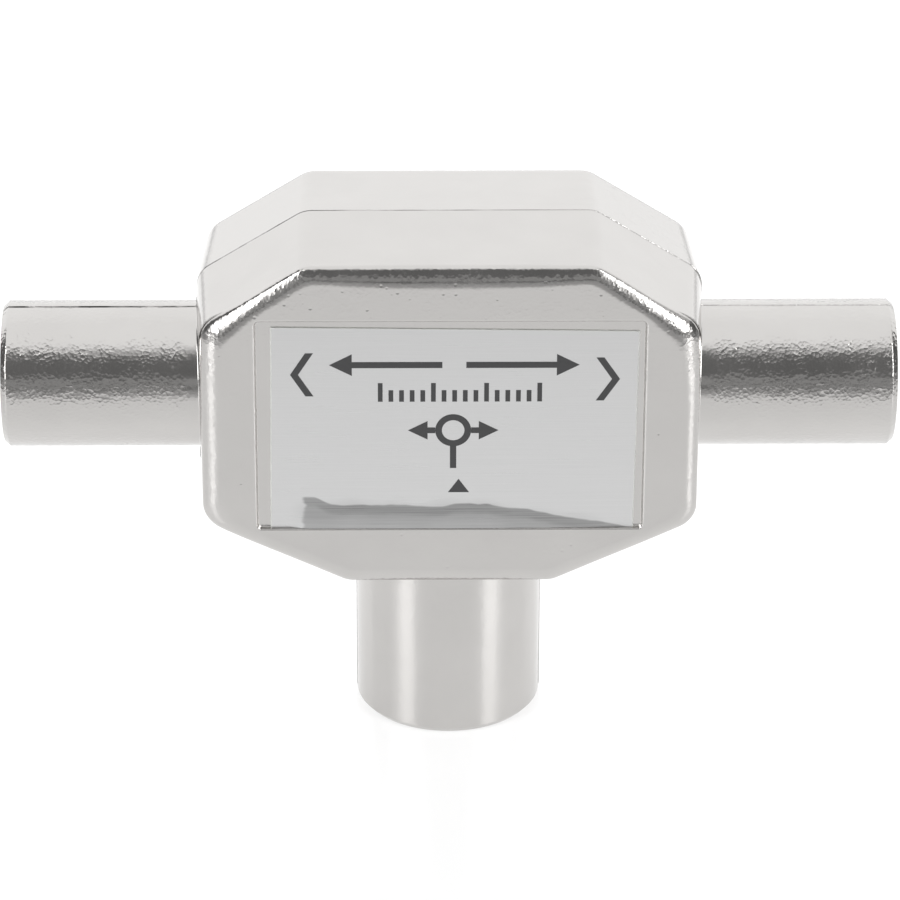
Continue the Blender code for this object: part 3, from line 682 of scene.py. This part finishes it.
def make_cover(material):
    """The pressed plate: outlines from its inner face, round its eased edge, to a slightly domed middle."""
    skin = Skin()
    inset = WALL - COVER_LEDGE + FIT_GAP
    low, high = COVER_LOW.y / MM, COVER_HIGH.y / MM
    line = rounded_profile(
        [(inset + 0.5, low), (inset, low), (inset, high), (inset + 1.2, high), (inset + 1.6, high - 0.06)],
        (0.15, 0.22, 0.4),
        steps=6,
    )
    loops = [outline(loop_inset, POCKET_CORNER_RADIUS) for loop_inset, depth in line]
    rings = [skin.add(level(loop, depth)) for loop, (loop_inset, depth) in zip(loops, line)]
    close(skin, rings, loops[-1], line[-1][1], (0.02, 0.3, 0.6, 0.85))
    skin.cap(rings[0], (0, low, 0))
    return make_object("back_plate", skin, material, ["rear_cover"])


def insulator_line(bore, shoulder, inner, contact):
    """An insulator's closed profile: hub, flange with a shallow moulded groove, boss and centre hole."""
    outer = shoulder + FIT_GAP + FLANGE_THICKNESS
    hub = contact + HUB_WIDTH
    groove, groove_floor = (hub + bore) / 2, outer - 0.15
    hole, rim, boss = SHANK_RADIUS + 0.02, bore - FIT_GAP, WALL_HOLE - FIT_GAP
    corners = [
        (hole, inner), (hole, outer + HUB_HEIGHT), (hub, outer + HUB_HEIGHT), (hub, outer),
        (groove - 0.45, outer), (groove - 0.35, groove_floor),
        (groove + 0.35, groove_floor), (groove + 0.45, outer),
        (rim, outer), (rim, shoulder + FIT_GAP), (boss, shoulder + FIT_GAP), (boss, inner),
    ]
    return rounded_profile(corners, (0.05, 0.1, 0.08, 0.04, 0.04, 0.04, 0.04, 0.12, 0.08, 0.05))


def make_insulators(material):
    """The three moulded discs that hold the centre contacts."""
    wall_x, wall_z = BODY_WIDTH / 2 - WALL, BODY_HEIGHT / 2 - WALL
    contact = CONTACT_HIGH.x / MM
    pin = PIN_HIGH.y / MM
    jobs = (
        ("right_insulator", "out_insulator_right", point_right, PLUG_BORE, PLUG_SHOULDER, wall_x, pin),
        ("left_insulator", "out_insulator_left", point_left, PLUG_BORE, PLUG_SHOULDER, wall_x, pin),
        ("input_insulator", "in_insulator", point_down, SOCKET_BORE, SOCKET_SHOULDER, wall_z, contact),
    )
    for name, node, place, bore, shoulder, inner, radius in jobs:
        skin = Skin()
        turned(skin, insulator_line(bore, shoulder, inner, radius), place)
        make_object(name, skin, material, [node])


def shank_corners(shoulder, inner, tail_end):
    """The end of a contact's profile inside its insulator, down to its solder tail."""
    face = shoulder + 2 * FIT_GAP + FLANGE_THICKNESS + HUB_HEIGHT
    step, shank, tail = inner - SHANK_STICKOUT, SHANK_RADIUS, TAIL_RADIUS
    return [(shank, face), (shank, step), (tail, step), (tail, tail_end), (0, tail_end)]


def make_pins(material):
    """The plugs' centre pins: a half ellipse at the tip, a straight pin, a step down to the shank."""
    radius = PIN_HIGH.y / MM
    tip, tail = PIN_HIGH.x / MM, PIN_LOW.x / MM
    face = PLUG_SHOULDER + 2 * FIT_GAP + FLANGE_THICKNESS + HUB_HEIGHT
    turn = np.linspace(0, math.pi / 2, 12)
    nose = np.column_stack([radius * np.sin(turn), tip - PIN_TIP_LENGTH * (1 - np.cos(turn))])
    inner = BODY_WIDTH / 2 - WALL
    corners = [nose[-1], (radius, face)] + shank_corners(PLUG_SHOULDER, inner, tail)
    line = rounded_profile(corners, (0.08, 0.05, 0.05, 0.05, 0.1), steps=3)
    profile = np.vstack([nose[:-1], line])
    for side, place in (("right", point_right), ("left", point_left)):
        skin = Skin()
        turned(skin, profile, place, count=64)
        make_object(side + "_pin", skin, material, ["out_pin_" + side])


def make_contact(material):
    """The socket's contact: a tube whose end is slit into four fingers, drawn in a little at their tips."""
    radius, bore = CONTACT_HIGH.x / MM, CONTACT_BORE
    end = INPUT_REACH - CONTACT_LOW.z / MM
    slit_end, bore_end, easing = end - SLOT_DEPTH, end - CONTACT_BORE_DEPTH, end - FINGER_EASE_REACH
    face = SOCKET_SHOULDER + 2 * FIT_GAP + FLANGE_THICKNESS + HUB_HEIGHT
    tail = INPUT_REACH - CONTACT_HIGH.z / MM
    skin = Skin()
    corners = [(0, bore_end), (bore, bore_end), (bore, slit_end), (radius, slit_end), (radius, face)]
    corners += shank_corners(SOCKET_SHOULDER, BODY_HEIGHT / 2 - WALL, tail)
    line = rounded_profile(corners, (0.1, 0.02, 0.02, 0.1, 0.05, 0.05, 0.05, 0.1), steps=3)
    turned(skin, line, point_down, count=64)
    # A finger's section is a ring sector whose flanks stay half a slit from the slit's middle
    reaches = np.concatenate([[slit_end - 0.02], np.linspace(slit_end + 0.5, easing, 8)])
    tip = easing + FINGER_EASE_REACH * np.sin(np.linspace(0, math.pi / 2, 5))[1:]
    reaches = np.concatenate([reaches, tip])
    for number in range(4):
        rings = []
        for reach in reaches:
            share = (reach - slit_end) / (end - slit_end)
            pull = FINGER_PULL * max(share, 0) ** 2
            eased = max(0.0, reach - end + FINGER_EASE_REACH) / FINGER_EASE_REACH
            ease = FINGER_EASE * (1 - math.sqrt(max(0.0, 1 - eased ** 2)))
            outer, inner = radius - pull - ease, bore - pull + ease
            sweep = np.linspace(-1, 1, 17)
            a = (math.pi / 4 - math.asin(HALF_SLOT / outer)) * sweep
            b = (math.pi / 4 - math.asin(HALF_SLOT / inner)) * sweep[::-1]
            turn = np.concatenate([a, b]) + math.pi / 4 + number * math.pi / 2
            size = np.concatenate([np.full(17, outer), np.full(17, inner)])
            rings.append(skin.add(point_down(size * np.cos(turn), size * np.sin(turn), reach)))
        skin.strips(rings)
        middle = math.pi / 4 + number * math.pi / 2
        centre = (radius + bore) / 2
        for ring, reach in ((rings[0], reaches[0]), (rings[-1], reaches[-1])):
            skin.cap(ring, point_down(centre * math.cos(middle), centre * math.sin(middle), reach))
    return make_object("slit_contact", skin, material, ["in_contact"])


# The label

def label_lift(x, z):
    """How far the foil stands off its recess: its lower edge curls up below a wavy line."""
    fall = np.clip((x - CURL_FALL_START) / (CURL_FALL_END - CURL_FALL_START), 0, 1)
    waves = 0.12 * np.sin(0.9 * x + 0.6) + 0.1 * np.sin(2.1 * x + 2)
    start = LABEL_BOTTOM + 0.4 + CURL_HEIGHT * (1 - fall) + waves
    share = np.clip((start - z) / CURL_ROLL, 0, 1)
    side = np.clip((x - CURL_LEFT) / 1.4, 0, 1)
    return CURL_LIFT * share * share * (3 - 2 * share) * side * side * (3 - 2 * side)


def make_label(material, edge_material):
    """The foil: an even grid with its front lifted by label_lift, a back that follows it, and cut edges."""
    skin = Skin()
    x = np.linspace(LABEL_LEFT + LABEL_TRIM, LABEL_RIGHT - LABEL_TRIM, 94)
    curling = np.linspace(LABEL_BOTTOM, LABEL_BOTTOM + CURL_ZONE, 53)
    x, z = np.meshgrid(x, np.concatenate([curling, np.linspace(curling[-1] + 0.2, LABEL_TOP, 12)]))
    lift = label_lift(x, z)
    # It is cut a little askew: its ends lean, and its top falls to the right
    x -= LABEL_LEAN * (LABEL_TOP - z) / (LABEL_TOP - LABEL_BOTTOM)
    z -= LABEL_SKEW * (x - LABEL_LEFT) / (LABEL_RIGHT - LABEL_LEFT) * np.clip((z - LABEL_TOP + 3) / 3, 0, 1)
    # The film below the foil shows at both ends, and at the foot, where it meets the recess's wall
    near_left = np.clip(1 - (x - x[:, :1]) / EDGE_BAND, 0, 1)
    near_right = np.clip(1 - (x[:, -1:] - x) / EDGE_BAND, 0, 1)
    near_foot = np.clip(1 - (z - LABEL_BOTTOM) / EDGE_BAND, 0, 1)
    z -= near_foot * (LABEL_BOTTOM - RECESS_RISE + RECESS_HEIGHT / 2 - LABEL_FOOT_GAP)
    foil_x, foil_z = x + FILM_MARGIN * (near_left - near_right), z + FOOT_MARGIN * near_foot
    front = skin.add(np.stack([foil_x, LABEL_FRONT - lift, foil_z], -1))
    back = skin.add(np.stack([x, LABEL_BACK - lift, z], -1))
    skin.sheet(front)
    skin.sheet(back)
    flat = len(skin.faces)
    for part in (np.s_[0], np.s_[-1], np.s_[:, 0], np.s_[:, -1]):
        skin.sheet(np.array([front[part], back[part]]))
    piece = make_object("foil_label", skin, material, ["label"])
    piece.data.materials.append(edge_material)
    which = np.arange(len(skin.faces)) >= flat
    piece.data.polygons.foreach_set("material_index", which.astype(np.int32))
    return piece


def arrow(x, z, length, height, shaft, direction):
    """A straight arrow's outline, its tip at (x, z), pointing to direction 1 (right) or -1 (left)."""
    head = height * 0.95
    points = [
        (0, 0), (-head, height / 2), (-head, shaft / 2), (-length, shaft / 2),
        (-length, -shaft / 2), (-head, -shaft / 2), (-head, -height / 2),
    ]
    return [(x + direction * px, z + pz) for px, pz in points]


def chevron(x, z, width, height, stroke, direction):
    """A bent stroke whose tip at (x, z) points to direction 1 (right) or -1 (left)."""
    points = [
        (0, 0), (-width + stroke, height / 2), (-width, height / 2), (-stroke, 0),
        (-width, -height / 2), (-width + stroke, -height / 2),
    ]
    return [(x + direction * px, z + pz) for px, pz in points]


def bar(x, z, width, height):
    """A rectangle round (x, z)."""
    return [
        (x - width / 2, z - height / 2), (x + width / 2, z - height / 2),
        (x + width / 2, z + height / 2), (x - width / 2, z + height / 2),
    ]


def print_shapes():
    """The printed marks: arrows for the signal's way through, a divider's sign and a row of ticks."""
    centre_x, centre_z = DIVIDER_CENTRE
    shapes = [
        arrow(centre_x + 2.85, centre_z, 1.72, 1.3, 0.4, 1),
        arrow(centre_x - 2.85, centre_z, 1.72, 1.3, 0.4, -1),
        bar(centre_x, centre_z - 1.9, 0.4, 1.55),
        arrow(8.1, 4.48, 7.1, 1.5, 0.42, 1),
        arrow(-7.6, 4.48, 7.1, 1.5, 0.42, -1),
        chevron(-10.05, 3.81, 1.45, 3.0, 0.5, -1),
        chevron(10.65, 3.48, 1.5, 3.0, 0.5, 1),
        [(0.54, -3.55), (-0.13, -4.5), (1.21, -4.5)],
    ]
    for number in range(16):
        tall = 1.3 if number % 5 == 0 else 0.8
        shapes.append(bar(-4.4 + number * 0.668, 1.92 + tall / 2, 0.3, tall))
    return shapes


def make_print(material):
    """The ink: each mark a thin flat prism on the foil, and a ring with three arms for the divider."""
    skin = Skin()
    high, low = LABEL_FRONT - PRINT_HEIGHT, LABEL_FRONT + 0.02
    for shape in print_shapes():
        points = np.array(shape)
        top, foot = skin.add(level(points, high)), skin.add(level(points, low))
        skin.strips([top, foot])
        skin.faces += [top.tolist(), foot[::-1].tolist()]
    turn = 2 * math.pi * np.arange(72) / 72
    circle = np.column_stack([np.cos(turn), np.sin(turn)])
    hole = DIVIDER_RING - 0.42
    section = ((DIVIDER_RING, low), (DIVIDER_RING, high), (hole, high), (hole, low))
    rings = [skin.add(level(circle * r + DIVIDER_CENTRE, d)) for r, d in section]
    skin.strips(rings + rings[:1])
    return make_object("label_print", skin, material)


# Finishes

SMOOTH = {"interpolation_type": "SMOOTHSTEP"}


def srgb(text):
    """An sRGB hex colour as linear red, green, blue and alpha."""
    shares = np.array([int(text[i:i + 2], 16) for i in (0, 2, 4)]) / 255
    linear = np.where(shares <= 0.04045, shares / 12.92, ((shares + 0.055) / 1.055) ** 2.4)
    return (*linear.tolist(), 1.0)


def add_node(tree, kind, inputs=None, **settings):
    """Adds a node. Settings are its own properties; inputs are values, or what to link from.

    A link comes from a socket, or from a node's first output in use. Inputs go by name or number; those
    of MapRange are 0 the value, 1 and 2 the range that it comes from, 3 and 4 the range that it goes to.
    """
    made = tree.nodes.new("ShaderNode" + kind)
    for name, value in settings.items():
        setattr(made, name, value)
    for key, value in (inputs or {}).items():
        if isinstance(value, bpy.types.Node):
            value = next(output for output in value.outputs if output.enabled)
        if isinstance(value, bpy.types.NodeSocket):
            tree.links.new(value, made.inputs[key])
        else:
            made.inputs[key].default_value = value
    return made


def new_material(name):
    """A material with an empty tree and its Object coordinates."""
    made = bpy.data.materials.new(name)
    made.use_nodes = True
    made.node_tree.nodes.clear()
    add = partial(add_node, made.node_tree)
    return made, add, add("TexCoord").outputs["Object"]


def per_mm(size):
    """A texture scale whose pattern repeats about every size millimetres."""
    return 1 / (size * MM)


def cast_nickel():
    """Nickel plate on a tumbled zinc casting: a bright metal with a fine orange peel and a few pits."""
    made, add, place = new_material("nickel-plated zinc casting")
    across, depth, up = add("SeparateXYZ", {0: place}).outputs
    grain = add("TexNoise", {"Vector": place, "Scale": per_mm(0.16), "Detail": 2.0, "Roughness": 0.6})
    patch, swell, cloud = [
        add("TexNoise", {"Vector": place, "Scale": per_mm(size), "Detail": detail})
        for size, detail in ((0.9, 2.0), (1.3, 1.0), (3.5, 3.0))
    ]
    crumb = add("TexVoronoi", {"Vector": place, "Scale": per_mm(0.21)})
    crumb = add("Math", {0: crumb, 1: 2.0}, operation="POWER")
    # The plate is coarse on the worn upper front edge and on the plugs, and fine elsewhere
    normal = add("NewGeometry").outputs["Normal"]
    facing = add("SeparateXYZ", {0: normal}).outputs["Y"]
    front = add("MapRange", {0: facing, 1: -0.985, 2: -0.93}, **SMOOTH)
    behind = add("MapRange", {0: depth, 1: -7.9 * MM, 2: -7.4 * MM, 3: 1.0, 4: 0.0}, **SMOOTH)
    high = add("MapRange", {0: up, 1: INPUT_REACH * MM, 2: (INPUT_REACH + 6) * MM, 3: 0.2, 4: 0.4})
    aside = add("Math", {0: across}, operation="ABSOLUTE")
    at_root = {0: aside, 1: 16.4 * MM, 2: 17.2 * MM}
    plug = add("MapRange", {**at_root, 3: 0.14, 4: 0.7}, **SMOOTH)
    uneven = add("MapRange", {0: patch, 1: 0.38, 2: 0.62, 3: 0.5, 4: 1.3})
    coarse = add("Math", {0: front, 1: behind}, operation="MULTIPLY")
    coarse = add("Math", {0: coarse, 1: high, 2: plug}, operation="MULTIPLY_ADD")
    coarse = add("Math", {0: coarse, 1: uneven}, operation="MULTIPLY")
    # Heights in millimetres
    fine = add("Math", {0: grain, 1: 0.014}, operation="MULTIPLY")
    fine = add("Math", {0: crumb, 1: 0.026, 2: fine}, operation="MULTIPLY_ADD")
    height = add("Math", {0: fine, 1: coarse}, operation="MULTIPLY")
    height = add("Math", {0: swell, 1: 0.01, 2: height}, operation="MULTIPLY_ADD")
    # Pits left by gas in the zinc, more of them high up and shallower ones away from the front face
    cell = add("TexVoronoi", {"Vector": place, "Scale": per_mm(0.6)})
    rare = add("MapRange", {
        0: up, 1: (INPUT_REACH + 3) * MM, 2: (INPUT_REACH + 9) * MM,
        3: 0.92, 4: 0.7,
    })
    pick = add("Math", {0: cell.outputs["Color"], 1: rare}, operation="GREATER_THAN")
    hollow = add("MapRange", {0: cell, 1: 0.03, 2: 0.25, 3: 1.0, 4: 0.0}, **SMOOTH)
    pit = add("Math", {0: hollow, 1: pick}, operation="MULTIPLY")
    pit_depth = add("MapRange", {0: front, 3: -0.014, 4: -0.004})
    height = add("Math", {0: pit, 1: pit_depth, 2: height}, operation="MULTIPLY_ADD")
    # The trimmed flash is torn into crumbs
    torn = add("Math", {0: depth, 1: 0.0, 2: 0.07 * MM}, operation="COMPARE")
    torn = add("Math", {0: torn, 1: grain}, operation="MULTIPLY")
    height = add("Math", {0: torn, 1: 0.04, 2: height}, operation="MULTIPLY_ADD")
    # Painted shade: a dark line painted just in front of the trimmed flash, standing for the shade of the
    # notch along the parting line, in broken stretches, darker on the left
    wide = add("MapRange", {**at_root, 3: 0.05 * MM, 4: 0.085 * MM})
    off = add("Math", {0: depth, 1: -0.05 * MM, 2: wide}, operation="COMPARE")
    broken = add("MapRange", {0: cloud, 1: 0.42, 2: 0.56, 3: 0.15, 4: 0.85})
    painted_seam_shade = add("Math", {0: off, 1: broken}, operation="MULTIPLY")
    lesser = add("MapRange", {0: across, 1: -16 * MM, 2: 12 * MM, 3: 1.3, 4: 0.0})
    painted_seam_shade = add("Math", {0: painted_seam_shade, 1: lesser}, operation="MULTIPLY")
    tint = add("Mix", {"Factor": cloud, "A": srgb("C0BEBC"), "B": srgb("C8C6C4")}, data_type="RGBA")
    # The painted seam shade turns the tint nearly black along that line
    tint = add("Mix", {"Factor": painted_seam_shade, "A": tint, "B": srgb("3C3B3A")}, data_type="RGBA")
    rough = add("MapRange", {0: cloud, 1: 0.3, 2: 0.7, 3: 0.12, 4: 0.18})
    bump = add("Bump", {"Height": height, "Strength": 1.0, "Distance": MM})
    shader = add("BsdfPrincipled", {"Base Color": tint, "Metallic": 1.0, "Roughness": rough, "Normal": bump})
    add("OutputMaterial", {"Surface": shader})
    return made


def pressed_nickel():
    """Nickel-plated steel sheet: bright, with the sheet's faint rolling lines along x."""
    made, add, place = new_material("nickel-plated steel sheet")
    stretch = (per_mm(5), per_mm(1), per_mm(0.12))
    run = add("Mapping", {"Vector": place, "Scale": stretch}, vector_type="POINT")
    lines = add("TexNoise", {"Vector": run, "Scale": 1.0, "Detail": 3.0})
    bump = add("Bump", {"Height": lines, "Strength": 1.0, "Distance": 0.003 * MM})
    rough = add("MapRange", {0: lines, 3: 0.16, 4: 0.3})
    shader = add("BsdfPrincipled", {
        "Base Color": srgb("C2C0BE"), "Metallic": 1.0, "Roughness": rough, "Normal": bump,
    })
    add("OutputMaterial", {"Surface": shader})
    return made


def turned_nickel():
    """Nickel-plated turned brass: polished, with a faint waviness from the plating bath."""
    made, add, place = new_material("nickel-plated turned brass")
    wave = add("TexNoise", {"Vector": place, "Scale": per_mm(0.4), "Detail": 2.0})
    bump = add("Bump", {"Height": wave, "Strength": 1.0, "Distance": 0.004 * MM})
    rough = add("MapRange", {0: wave, 3: 0.08, 4: 0.2})
    shader = add("BsdfPrincipled", {
        "Base Color": srgb("CBC7C0"), "Metallic": 1.0, "Roughness": rough, "Normal": bump,
    })
    add("OutputMaterial", {"Surface": shader})
    return made


def brushed_foil():
    """Brushed aluminium foil: fine scratches along x, with a painted dark reflection on its curled lower
    edge, standing for the studio it mirrors.

    The curled strip lies below a wavy line that falls to the right, and to the right of a ragged end.
    """
    made, add, place = new_material("brushed aluminium foil")
    stretch = (per_mm(6), per_mm(1), per_mm(0.07))
    run = add("Mapping", {"Vector": place, "Scale": stretch}, vector_type="POINT")
    lines = add("TexNoise", {"Vector": run, "Scale": 1.0, "Detail": 3.0})
    bump = add("Bump", {"Height": lines, "Strength": 1.0, "Distance": 0.002 * MM})
    rough = add("MapRange", {0: lines, 3: 0.22, 4: 0.4})
    tint = add("Mix", {"Factor": lines, "A": srgb("CECECE"), "B": srgb("D9D9D9")}, data_type="RGBA")
    # Painted reflection: dark colours that stand for the studio mirrored in the curled lower strip
    dark = add("Mix", {"Factor": lines, "A": srgb("7E7E7E"), "B": srgb("BABABA")}, data_type="RGBA")
    across, depth, up = add("SeparateXYZ", {0: place}).outputs
    wave = add("TexNoise", {"W": across, "Scale": per_mm(3.2), "Detail": 2.0}, noise_dimensions="1D")
    torn = add("TexNoise", {"W": up, "Scale": per_mm(0.8), "Detail": 2.0}, noise_dimensions="1D")
    # The strip's upper line, in metres above the label's lower edge
    fall = add("MapRange", {
        0: across, 1: CURL_FALL_START * MM, 2: CURL_FALL_END * MM,
        3: CURL_HEIGHT * MM, 4: 0.0,
    })
    rise = add("MapRange", {0: across, 1: -8.7 * MM, 2: -7.4 * MM, 3: 0.6 * MM, 4: 0.0}, **SMOOTH)
    line = add("Math", {0: fall, 1: rise}, operation="ADD")
    line = add("Math", {0: wave, 1: 0.7 * MM, 2: line}, operation="MULTIPLY_ADD")
    line = add("Math", {0: line, 1: up}, operation="SUBTRACT")
    zero = (0.35 - LABEL_BOTTOM - INPUT_REACH) * MM
    below = add("MapRange", {0: line, 1: zero, 2: zero + 0.14 * MM}, **SMOOTH)
    # The painted reflection is darkest under its upper line and lighter further down
    lighter = add("MapRange", {0: line, 1: zero + 0.5 * MM, 2: zero + 0.9 * MM, 4: 0.5}, **SMOOTH)
    dark = add("Mix", {"Factor": lighter, "A": dark, "B": srgb("C0C0C0")}, data_type="RGBA")
    end = add("Math", {0: torn, 1: 0.7 * MM, 2: across}, operation="MULTIPLY_ADD")
    beside = add("MapRange", {0: end, 1: -9.1 * MM, 2: -8.8 * MM}, **SMOOTH)
    curled = add("Math", {0: below, 1: beside}, operation="MULTIPLY")
    tint = add("Mix", {"Factor": curled, "A": tint, "B": dark}, data_type="RGBA")
    shader = add("BsdfPrincipled", {"Base Color": tint, "Metallic": 1.0, "Roughness": rough, "Normal": bump})
    add("OutputMaterial", {"Surface": shader})
    return made


def plain(name, colour, roughness, metallic=0.0, size=0.5, height=0.004):
    """A finish with one colour and an uneven surface: noise of the given size and height in millimetres."""
    made, add, place = new_material(name)
    noise = add("TexNoise", {"Vector": place, "Scale": per_mm(size), "Detail": 3.0})
    bump = add("Bump", {"Height": noise, "Strength": 1.0, "Distance": height * MM})
    shade = add("MapRange", {0: noise, 3: roughness * 0.8, 4: roughness * 1.2})
    shader = add("BsdfPrincipled", {
        "Base Color": srgb(colour), "Metallic": metallic, "Roughness": shade, "Normal": bump,
    })
    add("OutputMaterial", {"Surface": shader})
    return made


# Studio

def make_floor():
    """A pale, slightly glossy acrylic table top whose surface glows: painted light standing for a soft lamp
    below it, fading with the distance, with a painted pool of light close to the object that fills in its
    contact shadow.
    """
    reach = 2.0
    mesh = bpy.data.meshes.new("floor")
    corners = [(-reach, -reach, 0), (reach, -reach, 0), (reach, reach, 0), (-reach, reach, 0)]
    mesh.from_pydata(corners, [], [(0, 1, 2, 3)])
    made, add, place = new_material("pale satin table top")
    # Painted light: the table's own emission, a pool close to the object and a wider glow that fades further
    # out
    away = add("VectorMath", {0: place, 1: (0, 0.05, 0)}, operation="DISTANCE")
    near = add("MapRange", {0: away, 1: 0.03, 2: 0.1, 3: 0.16, 4: 0.0}, **SMOOTH)
    lamp = add("MapRange", {0: away, 1: 0.135, 2: 0.18, 3: 0.505, 4: 0.0}, **SMOOTH)
    painted_floor_glow = add("Math", {0: near, 1: lamp}, operation="ADD")
    shader = add("BsdfPrincipled", {
        "Base Color": srgb("ACACAC"), "Roughness": 0.18,
        "Emission Color": (1, 1, 1, 1), "Emission Strength": painted_floor_glow,
    })
    add("OutputMaterial", {"Surface": shader})
    mesh.materials.append(made)
    floor = bpy.data.objects.new("floor", mesh)
    bpy.context.scene.collection.objects.link(floor)


# The studio round the object as soft-edged bands, each laid over the ones before it: the angles it is
# measured in, its reach in each of them in degrees, the width of its border, and its radiance.
# "both" is the azimuth from the front on either side, with the elevation; "right" is on that side alone.
SKY = (
    ("both", (0, 180), (-90, 90), 5, 0.9),
    ("both", (100, 180), (-20, 90), 20, 1.62),
    ("both", (0, 180), (60, 90), 16, 1.55),
    ("both", (0, 38), (-90, 62), 14, 0.8),
    ("both", (0, 38), (-90, 51), 10, 0.22),
    ("both", (0, 38), (-90, 17), 4, 0.47),
    ("both", (33, 102), (-90, 7), 4, 0.14),
    ("both", (0, 38), (-90, 2), 3, 0.1),
    ("both", (58, 112), (-3, 61), 8, 0.16),
    ("right", (72, 116), (28, 61), 8, 0.9),
    ("both", (32, 76), (6, 55), 8, 1.3),
    ("both", (40, 69), (8, 55), 6, 3.5),
    ("both", (45, 63), (8, 55), 6, 7.5),
    ("both", (12, 45), (30, 56), 5, 0.25),
)


def make_sky():
    """The world's radiance as a function of direction."""
    world = bpy.data.worlds.new("studio")
    world.use_nodes = True
    world.node_tree.nodes.clear()
    add = partial(add_node, world.node_tree)
    toward = add("TexCoord").outputs["Generated"]
    across, depth, up = add("SeparateXYZ", {0: toward}).outputs
    front = add("Math", {0: depth, 1: -1.0}, operation="MULTIPLY")
    right = add("Math", {0: across, 1: front}, operation="ARCTAN2")
    both = add("Math", {0: right}, operation="ABSOLUTE")
    elevation = add("Math", {0: up}, operation="ARCSINE")
    angles = {"both": (both, elevation), "right": (right, elevation)}
    so_far = None
    for sort, first, second, border, radiance in SKY:
        inside = None
        for angle, (low, high) in zip(angles[sort], (first, second)):
            for edge, sign in ((low, 1), (high, -1)):
                if abs(edge) in (0, 90, 180):
                    continue
                share = add("MapRange", {
                    0: angle,
                    1: math.radians(edge - sign * border / 2),
                    2: math.radians(edge + sign * border / 2),
                }, **SMOOTH)
                if inside:
                    share = add("Math", {0: inside, 1: share}, operation="MULTIPLY")
                inside = share
        if so_far is None:
            so_far = radiance
        else:
            so_far = add("Mix", {"Factor": inside, "A": so_far, "B": radiance})
    back = add("Background", {"Strength": so_far})
    add("OutputWorld", {"Surface": back})
    bpy.context.scene.world = world


def make_camera():
    """The fitted camera: it looks at CAMERA_AIM from its distance, elevation, azimuth and roll."""
    rise, turn, roll = CAMERA_ELEVATION, CAMERA_AZIMUTH, CAMERA_ROLL
    back = np.array([math.sin(turn) * math.cos(rise), -math.cos(turn) * math.cos(rise), math.sin(rise)])
    right = np.cross(-back, (0, 0, 1))
    right /= np.linalg.norm(right)
    up = np.cross(right, -back)
    image_right = right * math.cos(roll) + up * math.sin(roll)
    image_up = up * math.cos(roll) - right * math.sin(roll)
    spot = np.array(CAMERA_AIM) + (0, 0, INPUT_REACH) + back * CAMERA_DISTANCE
    matrix = Matrix(np.column_stack([image_right, image_up, back]).tolist()).to_4x4()
    matrix.translation = spot * MM
    lens = bpy.data.cameras.new("camera")
    lens.sensor_width = SENSOR_WIDTH
    lens.lens = FOCAL_PIXELS / IMAGE_PIXELS * SENSOR_WIDTH
    lens.clip_start = 0.01
    camera = bpy.data.objects.new("camera", lens)
    camera.matrix_world = matrix
    bpy.context.scene.collection.objects.link(camera)
    bpy.context.scene.camera = camera


FLAT_SHARES = flat_shares()
LABEL_LEFT, LABEL_RIGHT = LABEL_LOW.x / MM, LABEL_HIGH.x / MM
LABEL_BOTTOM, LABEL_TOP = LABEL_LOW.z / MM - INPUT_REACH, LABEL_HIGH.z / MM - INPUT_REACH
LABEL_FRONT, LABEL_BACK = LABEL_LOW.y / MM + LABEL_THIN, RECESS_DEPTH - HALF_DEPTH - LABEL_GLUE

finishes = {
    "cast_nickel": cast_nickel(),
    "pressed_nickel": pressed_nickel(),
    "turned_nickel": turned_nickel(),
    "brushed_foil": brushed_foil(),
    "insulator": plain("moulded polyethylene", "E4E1DA", 0.42, size=0.6, height=0.01),
    "board": plain("paper laminate board", "9C7A4A", 0.6, size=0.3, height=0.01),
    "ferrite": plain("sintered ferrite", "3A3A3C", 0.55, size=0.1, height=0.006),
    "enamel_wire": plain("enamelled copper wire", "B0682F", 0.2, metallic=1.0, size=0.3),
    "resistor": plain("resistor glass", "222224", 0.3, size=0.4),
    "capacitor": plain("fired capacitor ceramic", "A38F73", 0.4, size=0.2),
    "solder": plain("tin solder", "CFD0D2", 0.22, metallic=1.0, size=0.4, height=0.02),
}
cut_edge = plain("label's cut edge of film and adhesive", "D8DAD6", 0.5, size=0.1)
ink = plain("dark grey label ink", "3A3A3B", 0.5, size=0.08, height=0.003)

for row in frame["record"]["subparts"]:
    mesh = frame["nodes"][row["node"]].data
    mesh.materials.clear()
    mesh.materials.append(finishes[row["material_slot"]])

make_housing(finishes["cast_nickel"])
make_cover(finishes["pressed_nickel"])
make_insulators(finishes["insulator"])
make_pins(finishes["turned_nickel"])
make_contact(finishes["turned_nickel"])
make_label(finishes["brushed_foil"], cut_edge)
make_print(ink)

make_floor()
make_sky()
make_camera()
bpy.context.scene.view_settings.view_transform = "Standard"

bpy.context.view_layer.update()
